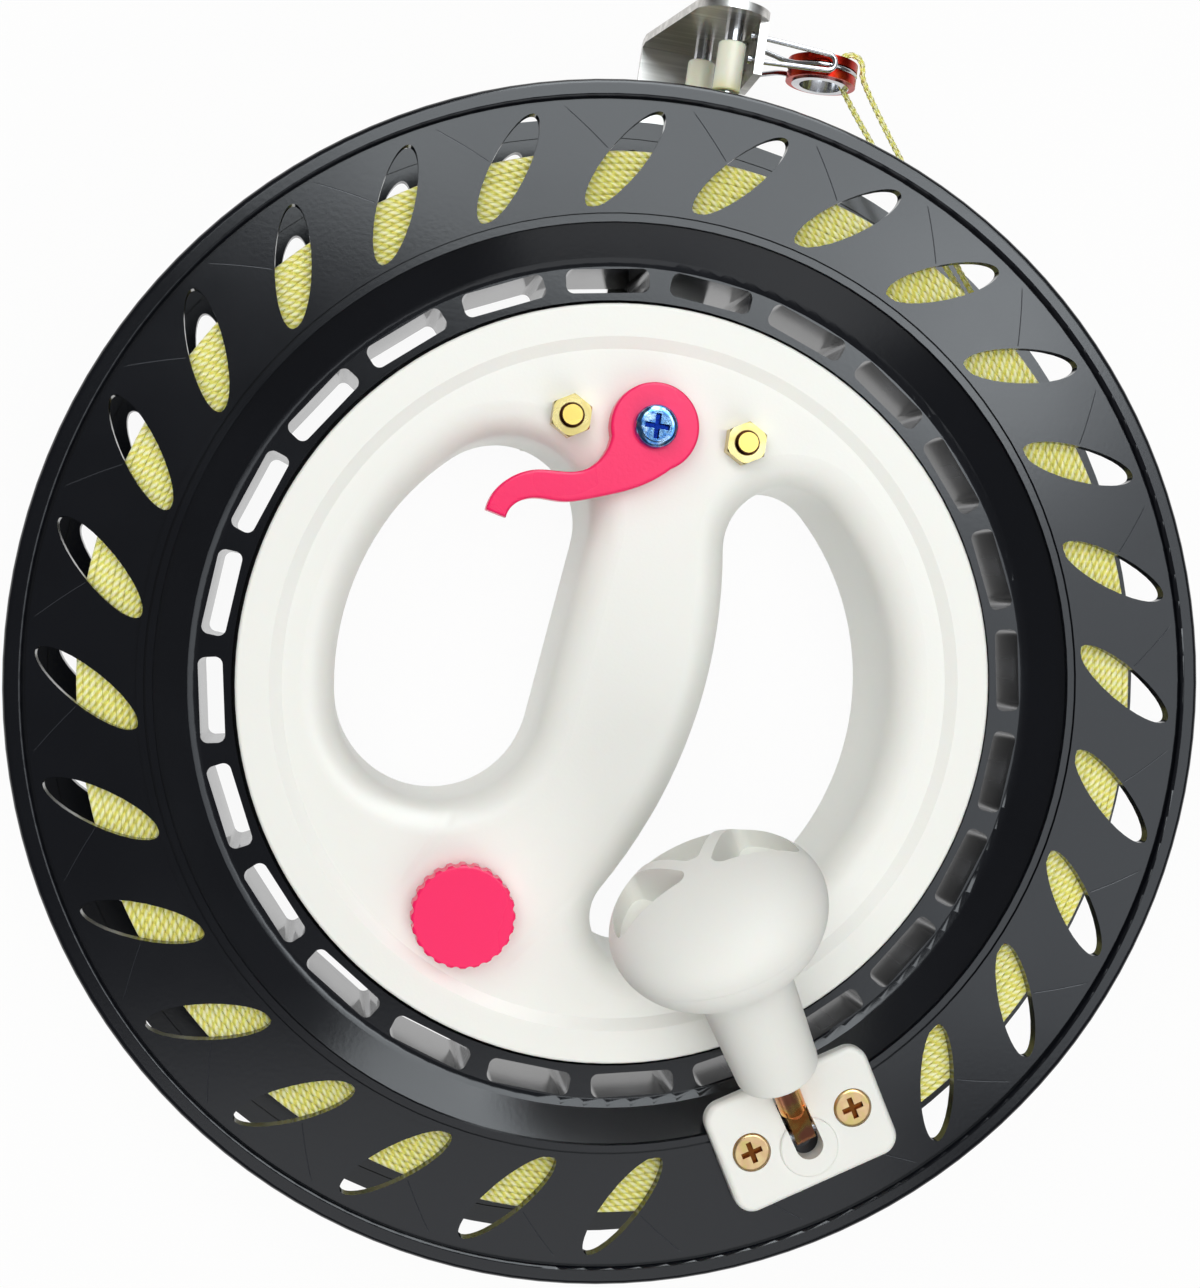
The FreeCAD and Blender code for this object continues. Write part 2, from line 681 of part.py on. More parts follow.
def window_tool():
    middle = window_radius
    half_width = s("window_width") / 2
    half_length = s("window_length") / 2
    block = box((middle - half_width, -half_length, web_bottom - 1),
                (middle + half_width, half_length, s("core_face") + 1))
    return rounded(block, s("window_corner"), lambda edge: edge.BoundBox.ZLength > 5)


def notch_tool():
    half_width = s("notch_width") / 2
    return box((land_bore - 2, -half_width, s("land_bottom") - 0.5),
               (land_bore + s("notch_depth"), half_width, land_top + 0.5))


def pawl_angle():
    # The spool rests with a notch in front of the pawl.
    return math.degrees(math.atan2(float(pawl_tip), float(s("pivot_x"))))


def screw_start():
    return s("window_start") + FULL_TURN / WINDOW_COUNT / 2


def spool_screw_hole(radius):
    return cylinder(radius, s("spool_screw_length"), (window_radius, 0, web_bottom))


def make_rear_flange():
    rise = s("rear_rise")
    web_inner = core_bore + 0.4
    body = turned([
        (web_inner, s("core_rear")), (web_inner, web_bottom), (drum_inner, web_bottom),
        (drum_inner, s("rear_face")), (rim_inner, s("rear_face")),
        (rim_inner, s("rear_face") - rise), (s("flange_radius"), s("rear_face") - rise),
        (s("flange_radius"), rear_inside + rise), (rim_inner, rear_inside + rise),
        (rim_inner, rear_inside), (drum_radius, rear_inside), (drum_radius, drum_top),
        (drum_inner, drum_top), (drum_inner, s("core_rear"))], "rear_turning")
    round_edges(body, 0.8, circle_at(s("flange_radius"), s("rear_face") - rise))
    leaves = around(leaf_tool(s("rear_face"), rear_inside), LEAF_PLACES, s("leaf_start"),
                    FULL_TURN / LEAF_PLACES)
    windows = around(window_tool(), WINDOW_COUNT, s("window_start"), FULL_TURN / WINDOW_COUNT)
    pilots = around(spool_screw_hole(s("spool_screw_radius")), SPOOL_SCREW_COUNT,
                    screw_start(), FULL_TURN / SPOOL_SCREW_COUNT)
    return keep(cut(cut(cut(body, leaves), windows), pilots), "rear_flange")


def make_spool_screws():
    shank = spool_screw_hole(s("spool_screw_radius"))
    head = cylinder(s("spool_screw_head"), 1.4, (window_radius, 0, web_bottom - 1.4))
    screw = cut(joined(shank, head), *cross_tools(window_radius, 0, web_bottom - 1.4, 2.4, -1))
    keep(around(screw, SPOOL_SCREW_COUNT, screw_start(), FULL_TURN / SPOOL_SCREW_COUNT), "spool_screws")


def make_line_winding():
    low = rear_inside + spool_play
    high = flange_back - spool_play
    dish_edge = dish_radius + 1.5
    body = turned([
        (drum_radius, low), (line_radius, low), (line_radius, high),
        (dish_edge, high), (drum_radius, high - (dish_edge - drum_radius))], "winding")
    keep(body, "line_winding")


# ---- bearing between hub and spool ----

def make_bearing():
    raceway = ring_bar(ball_circle, s("ball_radius") + s("groove_play"), (0, 0, ball_height))
    inner = turned([
        (seat_radius, race_bottom), (ball_circle - s("race_gap"), race_bottom),
        (ball_circle - s("race_gap"), s("land_bottom")), (seat_radius, s("land_bottom"))])
    keep(cut(inner, raceway), "inner_race")
    outer = turned([
        (ball_circle + s("race_gap"), race_bottom), (core_bore, race_bottom),
        (core_bore, s("land_bottom")), (ball_circle + s("race_gap"), s("land_bottom"))])
    keep(cut(outer, raceway), "outer_race")
    cage_half = s("race_gap") - s("cage_play")
    cage = turned([
        (ball_circle - cage_half, race_bottom + 0.6), (ball_circle + cage_half, race_bottom + 0.6),
        (ball_circle + cage_half, s("land_bottom") - 0.6),
        (ball_circle - cage_half, s("land_bottom") - 0.6)])
    step = FULL_TURN / BALL_COUNT
    pocket = cylinder(s("ball_radius") + s("pocket_play"), 4 * s("race_gap"),
                      (ball_circle - 2 * s("race_gap"), 0, ball_height), "x")
    keep(cut(cage, around(pocket, BALL_COUNT, step / 2, step)), "ball_cage")
    keep(around(ball(s("ball_radius")), BALL_COUNT, step / 2, step), "bearing_balls")
    clip_radius = core_bore + s("clip_bite")
    clip = cut(cylinder(clip_radius, s("clip_height"), (0, 0, race_bottom - s("clip_height"))),
               cylinder(core_bore - 1.2, s("clip_height"), (0, 0, race_bottom - s("clip_height"))),
               box((0, -4, race_bottom - 2 * s("clip_height")), (clip_radius + 1, 4, race_bottom + 1)))
    keep(clip, "bearing_clip")


def ball(radius):
    item = doc.addObject("Part::Sphere", "ball")
    bind(item, Radius=radius)
    put(item, (ball_circle, 0, ball_height))
    return item


# ---- hub ----

def end_centre(name):
    # Centre of one rounded end of a finger hole: it reaches out to the common radius.
    radius = float(hole_reach) - float(s(name + "_round"))
    turn = math.radians(float(s(name + "_turn")))
    return Vector(radius * math.cos(turn), radius * math.sin(turn), 0)


def arc_between(centre, radius, start, end):
    # The shorter arc round a centre between two directions.
    start = Vector(start).normalize()
    end = Vector(end).normalize()
    middle = (start + end).normalize()
    return Part.Arc(centre + start * radius, centre + middle * radius, centre + end * radius).toShape()


def finger_hole(side, grow, low, high):
    # A finger hole: the hub's common arc outside, two rounded ends, and the grip inside.
    top = end_centre(side + "_top")
    bottom = end_centre(side + "_low")
    top_radius = float(s(side + "_top_round"))
    bottom_radius = float(s(side + "_low_round"))
    between = bottom - top
    if side == "right":
        bulge = float(s("grip_bulge"))
        first = bulge + top_radius
        second = bulge + bottom_radius
        along = (first ** 2 - second ** 2 + between.Length ** 2) / (2 * between.Length)
        off = math.sqrt(first ** 2 - along ** 2)
        unit = Vector(between).normalize()
        centre = top + unit * along + Vector(unit.y, -unit.x, 0) * off
        top_side = centre - top
        bottom_side = centre - bottom
    else:
        centre = None
        tilt = math.acos((top_radius - bottom_radius) / between.Length)
        unit = Vector(between).normalize()
        top_side = Rotation(AXIS, math.degrees(tilt)).multVec(unit)
        bottom_side = top_side
    top_side = Vector(top_side).normalize()
    bottom_side = Vector(bottom_side).normalize()
    top_point = top + top_side * (top_radius + grow)
    bottom_point = bottom + bottom_side * (bottom_radius + grow)
    if centre:
        inner = arc_between(centre, float(s("grip_bulge")) - grow, top - centre, bottom - centre)
    else:
        inner = Part.LineSegment(top_point, bottom_point).toShape()
    edges = [
        arc_between(ORIGIN, float(hole_reach) + grow, bottom, top),
        arc_between(top, top_radius + grow, top, top_side),
        inner,
        arc_between(bottom, bottom_radius + grow, bottom_side, bottom)]
    wire = Part.Wire(Part.__sortEdges__(edges))
    prism = Part.Face(wire).extrude(Vector(0, 0, float(high) - float(low)))
    prism.translate(Vector(0, 0, float(low)))
    return prism


def finger_holes(grow, low, high, name):
    return [solid(finger_hole(side, float(grow), low, high), name) for side in ("left", "right")]


def on_hole_edge(height):
    # Test for the finger holes' own edges in one of the hub's faces.
    reach = float(hole_reach) + 0.5

    def test(edge):
        box_of = edge.BoundBox
        return (box_of.ZLength < 0.01 and abs(box_of.ZMin - float(height)) < 0.01
                and max(abs(box_of.XMin), abs(box_of.XMax), abs(box_of.YMin), abs(box_of.YMax)) < reach
                and edge.Length > 5)
    return test


RIM_SCREW_TURNS = (119.5, 60.5, 217.7)    # angles of the shell screws near the skirt
LOW_SCREW_TURN = 263.5
GRIP_SCREW_TURNS = (74.0, 263.0)          # and of the two in the grip


def shell_screw_places():
    spots = [(skirt_inner - s("rim_screw_inset"), turn) for turn in RIM_SCREW_TURNS]
    spots.append((skirt_inner - s("low_screw_inset"), LOW_SCREW_TURN))
    spots.extend(zip((s("grip_screw_high"), s("grip_screw_low")), GRIP_SCREW_TURNS))
    return [(radius * cosine(turn), radius * sine(turn)) for radius, turn in spots]


def make_hub_front_shell():
    shoulder_foot = s("land_bottom")
    cup = turned([
        (0, cap_inside), (skirt_inner, cap_inside), (skirt_inner, s("hub_split")),
        (seat_radius, s("hub_split")), (seat_radius, shoulder_foot),
        (skirt_outer, shoulder_foot), (skirt_outer, s("hub_face") - s("disc_wall")),
        (hub_radius, s("hub_face") - s("disc_wall")), (hub_radius, s("hub_face")),
        (step_outer, s("hub_face")), (step_inner, cap_face), (0, cap_face)], "front_cup")
    round_edges(cup, 0.6, circle_at(hub_radius, s("hub_face")))
    walls = finger_holes(s("hole_wall"), s("hub_split"), cap_inside + 0.5, "hole_wall")
    holes = finger_holes(0, s("hub_split") - 1, cap_face + 1, "hole")
    shell = rounded(cut(joined(cup, *walls), *holes), s("hole_round"), on_hole_edge(cap_face))
    bosses = []
    drills = []
    for x, y in shell_screw_places():
        bosses.append(cylinder(s("shell_screw_radius") + s("boss_wall"), cap_inside + 0.2 - s("hub_split"),
                               (x, y, s("hub_split"))))
        drills.append(cylinder(s("shell_screw_radius"), s("shell_screw_grip"),
                               (x, y, s("hub_split"))))
    for x in bolt_places():
        bosses.append(cylinder(s("bolt_radius") + s("bolt_wall"), cap_inside + 0.2 - s("hub_split"),
                               (x, bolt_y, s("hub_split"))))
        drills.append(bolt_hole(x, s("hub_split") - 1, cap_face + 1))
    bosses.extend(pawl_guides())
    bosses.append(brake_guide())
    drills.append(cylinder(s("lever_stem") + s("stem_play"), s("cap_wall") + 2,
                           (s("pivot_x"), pivot_y, cap_inside - 1)))
    drills.append(pawl_slot())
    drills.extend(brake_cuts())
    holes_again = finger_holes(0, s("hub_split") - 1, cap_inside - 4, "hole")
    return keep(cut(joined(shell, *bosses), *drills, *holes_again), "hub_front_shell")


def bolt_places():
    return (s("bolt_spread"), -s("bolt_spread"))


def bolt_hole(x, low, high):
    return cylinder(s("bolt_radius") + s("bolt_play"), high - sized(low), (x, bolt_y, low))


def pawl_guides():
    # Two cheeks in front of the skirt that the pawl slides between.
    near = s("pawl_width") / 2 + s("slide_play")
    low = s("pawl_bottom") - s("slide_play")
    start = pivot_y + s("pawl_cheek")
    cheeks = []
    for left, right in ((-near - 2, -near), (near, near + 2)):
        cheeks.append(box((s("pivot_x") + left, start, low),
                          (s("pivot_x") + right, skirt_inner, cap_inside + 0.2)))
    return cheeks


def pawl_slot():
    half = s("pawl_width") / 2 + s("slide_play")
    low = s("pawl_bottom") - s("slide_play")
    return box((s("pivot_x") - half, pivot_y + s("pawl_cheek"), low),
               (s("pivot_x") + half, skirt_outer + 1, low + s("pawl_height") + 2 * s("slide_play")))


def brake_box(near, far, half_width, low, high):
    # A block along the brake's radial line, measured from the knob's axis.
    block = box((brake_distance + near, -sized(half_width), low),
                (brake_distance + sized(far), half_width, high))
    shape = shape_of(block)
    shape.rotate(ORIGIN, AXIS, float(s("brake_place")))
    return solid(shape, "brake_block")


def brake_guide():
    half = s("shoe_width") / 2 + s("slide_play")
    floor = s("shoe_bottom") - s("slide_play") - s("guide_floor")
    return brake_box(-s("guide_back") - 2, 6.8, half + 2, floor, cap_inside + 0.2)


def brake_cuts():
    half = s("shoe_width") / 2 + s("slide_play")
    low = s("shoe_bottom") - s("slide_play")
    channel = brake_box(-s("guide_back"), 12.6, half, low, cap_inside)
    bearing = cylinder(s("cam_low") + s("cam_rise") + 0.2, cap_face + 1 - low,
                       (brake_x, brake_y, low))
    journal = cylinder(s("brake_journal") + s("stem_play"), s("guide_floor") + 2,
                       (brake_x, brake_y, low - s("guide_floor") - 1))
    return [channel, bearing, journal]


def make_hub_rear_shell():
    groove_outer = rear_radius - s("rear_rim")
    groove_inner = groove_outer - s("rear_groove")
    cup = turned([
        (0, 0), (groove_inner, 0), (groove_inner, s("rear_groove_depth")),
        (groove_outer, s("rear_groove_depth")), (groove_outer, 0),
        (rear_radius - s("rear_chamfer"), 0), (rear_radius, s("rear_chamfer")),
        (rear_radius, rear_inside_face), (skirt_outer, rear_inside_face + 1.5),
        (skirt_outer, race_bottom), (seat_radius, race_bottom),
        (seat_radius, s("hub_split")), (skirt_inner, s("hub_split")),
        (skirt_inner, rear_inside_face), (0, rear_inside_face)], "rear_cup")
    walls = finger_holes(s("hole_wall"), rear_inside_face - 0.5, s("hub_split"), "hole_wall")
    holes = finger_holes(0, -1, s("hub_split") + 1, "hole")
    shell = rounded(cut(joined(cup, *walls), *holes), s("rear_round"), on_hole_edge(0))
    bosses = [box((-s("foot_width") / 2 - 2, foot_low - 2, rear_inside_face - 0.2),
                  (s("foot_width") / 2 + 2, skirt_inner + 1, arm_top + s("cap_wall")))]
    head_seat = s("shell_head_sink") + s("shell_head_height")
    drills = []
    for x, y in shell_screw_places():
        bosses.append(cylinder(s("shell_screw_radius") + s("boss_wall"), s("hub_split") - 0.5, (x, y, 0.5)))
        drills.append(cylinder(s("shell_screw_radius") + 0.2, s("hub_split") + 2, (x, y, -1)))
        drills.append(cylinder(s("shell_head_radius") + 0.2, head_seat + 1, (x, y, -1)))
    for x in bolt_places():
        bosses.append(cylinder(s("bolt_radius") + s("bolt_wall"), s("hub_split") - arm_top,
                               (x, bolt_y, arm_top)))
        drills.append(bolt_hole(x, 0, s("hub_split") + 1))
        drills.append(cylinder(s("bolt_head_radius") + s("bolt_play"), s("arm_bottom") + 1, (x, bolt_y, -1)))
    for rib_x in (s("rib_first"), s("rib_second")):
        bosses.append(box((s("pivot_x") + rib_x, foot_low - 1, rear_inside_face - 0.2),
                          (s("pivot_x") + rib_x + 2, skirt_inner - 0.6, s("pawl_bottom") - s("slide_play"))))
    play = s("slide_play")
    drills.append(box((-s("foot_width") / 2 - play, foot_low - play, -1),
                      (s("foot_width") / 2 + play, foot_high + play, arm_top)))
    drills.append(box((s("arm_centre") - s("arm_width") / 2 - play, foot_high - 1, -1),
                      (s("arm_centre") + s("arm_width") / 2 + play, rear_radius + 1, arm_top)))
    # The ribs rise past the split only inside the front shell.
    holes_again = finger_holes(0, rear_inside_face + 2, s("pawl_bottom"), "hole")
    return keep(cut(joined(shell, *bosses), *drills, *holes_again), "hub_rear_shell")


def cross_tools(x, y, height, reach, way):
    # Two crossed blades that cut a cross recess into a screw head facing up or down.
    blade = 0.5
    depth = 0.9
    low = height - depth if way > 0 else sized(height) - 0.2
    high = sized(height) + 0.2 if way > 0 else sized(height) + depth
    half = reach / 2
    return [box((x - half, y - sized(blade), low), (x + sized(half), sized(y) + blade, high)),
            box((sized(x) - blade, sized(y) - half, low), (sized(x) + blade, sized(y) + half, high))]


def make_shell_screws():
    screws = []
    seat = s("shell_head_sink")
    for x, y in shell_screw_places():
        head = cylinder(s("shell_head_radius"), s("shell_head_height"), (x, y, seat))
        shank = cylinder(s("shell_screw_radius"), s("hub_split") + s("shell_screw_grip") - 1 - seat,
                         (x, y, seat))
        screws.append(cut(joined(head, shank), *cross_tools(x, y, seat, 3.2, -1)))
    group("hub_shell_screws", screws)


# ---- guide bracket, its bolts, rollers and ring ----

def make_guide_bracket():
    half = s("arm_width") / 2
    left = s("arm_centre") - half
    right = s("arm_centre") + half
    outside = arm_bend + s("sheet")
    foot = box((-s("foot_width") / 2, foot_low, s("arm_bottom")), (s("foot_width") / 2, foot_high, arm_top))
    arm = box((left, foot_high - 1, s("arm_bottom")), (right, outside, arm_top))
    ear = box((right - s("sheet"), arm_bend - s("ear_depth"), s("ear_bottom")),
              (right, outside, s("upright_side")))
    sheet_metal = joined(foot, arm, solid(upright_shape(), "upright"), ear)
    bends = rounded(sheet_metal, s("sheet"), lambda edge: outer_bend(edge, outside, right))
    holes = [bolt_hole(x, s("arm_bottom") - 1, arm_top + 1) for x in bolt_places()]
    for x, z in roller_places():
        holes.append(cylinder(s("rivet_radius"), s("sheet") + 2, (x, arm_bend - 1, z), "y"))
    for y, z in wire_ends():
        holes.append(cylinder(s("wire_radius") + 0.15, s("sheet") + 2, (right - s("sheet") - 1, y, z), "x"))
    return keep(cut(bends, *holes), "guide_bracket")


def outer_bend(edge, outside, right):
    # The outer edge of a bend: along the arm's end, or along the ear's back.
    size = edge.BoundBox
    at_end = abs(size.YMin - float(outside)) < 0.01 and size.YLength < 0.01
    foot_bend = at_end and abs(size.ZMin - float(s("arm_bottom"))) < 0.01 and size.ZLength < 0.01
    ear_bend = at_end and abs(size.XMax - float(right)) < 0.01 and size.XLength < 0.01
    return foot_bend or (ear_bend and size.ZMin > float(s("ear_bottom")) - 0.5)


def upright_shape():
    # The upright: square foot, a slanting left edge and an arched top.
    half = float(s("arm_width")) / 2
    left = float(s("arm_centre")) - half
    right = float(s("arm_centre")) + half
    low = float(s("arm_bottom"))
    side = float(s("upright_side"))
    shoulder_x = left + float(s("upright_taper"))
    corners = [Vector(shoulder_x, 0, side), Vector(left, 0, low + 5), Vector(left, 0, low),
               Vector(right, 0, low), Vector(right, 0, side)]
    edges = [Part.LineSegment(a, b).toShape() for a, b in zip(corners, corners[1:])]
    crown = Vector((shoulder_x + right) / 2, 0, float(s("upright_top")))
    edges.append(Part.Arc(corners[-1], crown, corners[0]).toShape())
    upright = Part.Face(Part.Wire(edges)).extrude(Vector(0, float(s("sheet")), 0))
    upright.translate(Vector(0, float(arm_bend), 0))
    return upright


def roller_places():
    return ((s("rear_roller_x"), s("rear_roller_z")), (s("front_roller_x"), s("front_roller_z")))


def wire_ends():
    # Where the wires pass the bracket's ear: y and height of each end.
    return ((ring_y + s("loop_half"), s("loop_z")), (ring_y - s("loop_half"), s("loop_z")),
            (ring_y + s("bow_spread"), s("ring_z")), (ring_y - s("bow_spread"), s("ring_z")))


def make_bracket_bolts():
    bolts = []
    nuts = []
    head_low = s("arm_bottom") - s("bolt_head_height")
    for x in bolt_places():
        shank = cylinder(s("bolt_radius"), cap_face + s("nut_height") + s("bolt_end") - head_low,
                         (x, bolt_y, head_low))
        head = cylinder(s("bolt_head_radius"), s("bolt_head_height"), (x, bolt_y, head_low))
        bolts.append(cut(joined(shank, head), *cross_tools(x, bolt_y, head_low, 3.6, -1)))
        nuts.append(hex_nut(x, bolt_y, cap_face))
    group("bracket_bolts", bolts)
    group("bracket_nuts", nuts)


def hexagon_bar(flats, height):
    corner = flats / 2 / cosine(30)
    points = [(corner * cosine(30 + 60 * index), corner * sine(30 + 60 * index)) for index in range(6)]
    return plate(points, 0, height, "hexagon")


def hex_nut(x, y, low):
    # A hexagon nut whose corners are turned off by a cone at the top.
    cone = doc.addObject("Part::Cone", "corner_cone")
    bind(cone, Radius1=s("nut_flats") / 2 / cosine(30) + s("nut_height"), Radius2=s("nut_flats") / 2 - 0.1,
         Height=s("nut_height") + 0.3)
    nut = cut(overlap(hexagon_bar(s("nut_flats"), s("nut_height")), cone),
              cylinder(s("bolt_radius"), s("nut_height") + 2, (0, 0, -1)))
    shape = shape_of(nut)
    shape.translate(Vector(float(x), float(y), float(low)))
    return solid(shape, "nut")


def make_rollers():
    pins = []
    for name, (x, z) in zip(("guide_roller_rear", "guide_roller_front"), roller_places()):
        low = roller_low
        journal_end = low + s("roller_length") + 0.2
        flange_head = cylinder(s("post_radius"), 0.8, (x, low - 1.0, z), "y")
        journal = cylinder(s("journal_radius"), journal_end - (low - 0.8), (x, low - 0.8, z), "y")
        post = cylinder(s("post_radius"), arm_bend - journal_end, (x, journal_end, z), "y")
        rivet = cylinder(s("rivet_radius"), s("sheet") + 0.2, (x, arm_bend - 0.1, z), "y")
        rivet_head = cylinder(s("post_radius"), 0.9, (x, arm_bend + s("sheet"), z), "y")
        pins.append(joined(flange_head, journal, post, rivet, rivet_head))
        roller = cut(cylinder(s("roller_radius"), s("roller_length"), (x, low, z), "y"),
                     cylinder(s("journal_radius") + s("roller_play"), s("roller_length") + 2,
                              (x, low - 1, z), "y"))
        keep(rounded(roller, 0.4, lambda edge: is_circle(edge, s("roller_radius"))), name)
    group("roller_pins", pins)


def make_guide_ring():
    centre = (s("ring_x"), ring_y, s("ring_z"))
    half = s("ring_width") / 2
    low = (centre[0], centre[1] - half, centre[2])
    tube = s("eyelet_bore") + s("eyelet_wall")
    sheave = cylinder(s("ring_radius"), s("ring_width"), low, "y")
    bore = cylinder(tube, s("ring_width") + 2, (low[0], low[1] - 1, low[2]), "y")
    groove = doc.addObject("Part::Torus", "wire_groove")
    groove_radius = s("wire_radius") + s("wire_play")
    bind(groove, Radius1=s("wire_circle"), Radius2=groove_radius)
    put(groove, centre, ALONG["y"])
    opening = cut(cylinder(s("ring_radius") + 1, 2 * groove_radius,
                           (low[0], ring_y - groove_radius, low[2]), "y"),
                  cylinder(s("wire_circle"), 2 * groove_radius + 2,
                           (low[0], ring_y - groove_radius - 1, low[2]), "y"))
    keep(cut(sheave, bore, groove, opening), "guide_ring")
    reach = half + 0.3
    barrel = cylinder(tube, 2 * reach, (low[0], ring_y - reach, low[2]), "y")
    lips = [cylinder(tube + 0.5, 0.3, (low[0], ring_y + place, low[2]), "y") for place in (half, -half - 0.3)]
    hollow = cylinder(s("eyelet_bore"), 2 * reach + 2, (low[0], ring_y - reach - 1, low[2]), "y")
    keep(cut(joined(barrel, *lips), hollow), "ring_eyelet")


def route(points):
    # Straight runs with each corner rounded by an arc; gives the edges and the arcs' radii.
    edges = []
    radii = []
    start = points[0]
    for before, corner, after in zip(points, points[1:], points[2:]):
        arriving = (corner - before).normalize()
        leaving = (after - corner).normalize()
        half_turn = arriving.getAngle(leaving) / 2
        reach = ROUNDED_SHARE * min((corner - before).Length, (after - corner).Length)
        radius = reach / math.tan(half_turn)
        inward = (leaving - arriving).normalize()
        middle = corner + inward * (radius / math.cos(half_turn) - radius)
        edges.append(Part.LineSegment(start, corner - arriving * reach).toShape())
        edges.append(Part.Arc(corner - arriving * reach, middle, corner + leaving * reach).toShape())
        radii.append(radius)
        start = corner + leaving * reach
    edges.append(Part.LineSegment(start, points[-1]).toShape())
    return edges, radii


def round_bar(edges, radius):
    # A round bar along a path of lines and arcs.
    path = Part.Wire(edges)
    start = edges[0].Vertexes[0].Point
    ahead = edges[0].Vertexes[1].Point - start
    section = Part.Wire(Part.Circle(start, ahead, radius).toShape())
    return path.makePipeShell([section], True, False)


def tangent_point(point, centre, radius):
    # Where the straight line from a point meets a circle; both lie in the XY plane.
    away = point - centre
    turn = math.atan2(away.y, away.x) - math.acos(radius / away.Length)
    return centre + Vector(math.cos(turn), math.sin(turn), 0) * radius


def wire_with_heads(edges):
    # Upset heads behind the ear keep the wire's two ends in their holes.
    radius = float(s("wire_radius"))
    thick = radius * HEAD_THICKNESS
    bar = round_bar(edges, radius)
    for end in (edges[0].Vertexes[0].Point, edges[-1].Vertexes[1].Point):
        bar = bar.fuse(Part.makeCylinder(radius * HEAD_SPREAD, thick, end, Vector(1, 0, 0)))
    return bar.removeSplitter()


def wire_start():
    return float(s("arm_centre") + s("arm_width") / 2 - s("sheet") - s("wire_tail"))


def make_snap_loop():
    # A long hairpin in a plane across the spin axis.
    half = float(s("loop_half"))
    bend = float(s("loop_bend"))
    lead = Vector(float(s("wire_lead")), 0, 0)
    centre = Vector(float(s("ring_x") + s("loop_reach")) - bend, float(ring_y), float(s("loop_z")))
    far = centre + Vector(bend, 0, 0)
    end = Vector(wire_start(), centre.y + half, centre.z)
    touch = tangent_point(end + lead, centre, bend)
    first, unused = route([end, end + lead, touch])
    mirrored = [Vector(point.x, 2 * centre.y - point.y, point.z) for point in (touch, end + lead, end)]
    last, unused = route(mirrored)
    turn = Part.Arc(touch, far, mirrored[0]).toShape()
    keep(solid(wire_with_heads(first + [turn] + last)), "snap_loop")


def make_ring_wire():
    # The bow leaves the ear sideways, then runs round the ring in the ring's own plane.
    circle = float(s("wire_circle"))
    spread = float(s("bow_spread"))
    lead = Vector(float(s("wire_lead")), 0, 0)
    centre = Vector(float(s("ring_x")), float(ring_y), float(s("ring_z")))
    end = Vector(wire_start(), centre.y + spread, centre.z)
    flat = tangent_point(Vector(end.x + lead.x - centre.x, 0, 0), ORIGIN, circle)
    touch = centre + Vector(flat.x, 0, flat.y)
    back = Vector(end.x + lead.x, centre.y, centre.z) - touch
    entry = touch + back.normalize() * float(s("bow_run"))
    upper = [end, end + lead, entry, touch]
    lower = [centre + (centre - point) for point in reversed(upper)]
    lower = [Vector(2 * centre.x - point.x, point.y, point.z) for point in lower]
    first, unused = route(upper)
    last, unused = route(lower)
    turn = Part.Arc(touch, centre + Vector(circle, 0, 0), lower[0]).toShape()
    keep(solid(wire_with_heads(first + [turn] + last)), "ring_wire")


# Route of the line from the winding through the ring and back: x and y at the ring's height.
LINE_ROUTE = ((74.9, 64.5), (26.4, 118.0), (26.4, 125.6), (31.4, 125.6), (31.4, 119.0), (78.7, 59.9))


def make_guide_line():
    edges, radii = route([Vector(x, y, float(s("ring_z"))) for x, y in LINE_ROUTE])
    radius = float(s("line_diameter")) / 2
    tube = round_bar(edges, radius)
    length = sum(edge.Length for edge in edges)
    print("guide_line arc radii in mm: %s" % ", ".join("%.2f" % value for value in radii))
    print("guide_line length %.1f mm, volume over section x length %.4f"
          % (length, tube.Volume / (math.pi * radius ** 2 * length)))
    keep(solid(tube), "guide_line")


# ---- crank ----

def place_on_flange(radial, side, height):
    # A point by the crank's base: outwards and sideways from the plate's middle, over the face.
    angle = s("crank_angle")
    reach = plate_centre + radial
    side = sized(side)
    x = reach * cosine(angle) - side * sine(angle)
    y = reach * sine(angle) + side * cosine(angle)
    return (x, y, face + height)


def turned_by_crank(item):
    item.Placement = Placement(ORIGIN, Rotation(AXIS, float(s("crank_angle"))))
    return item


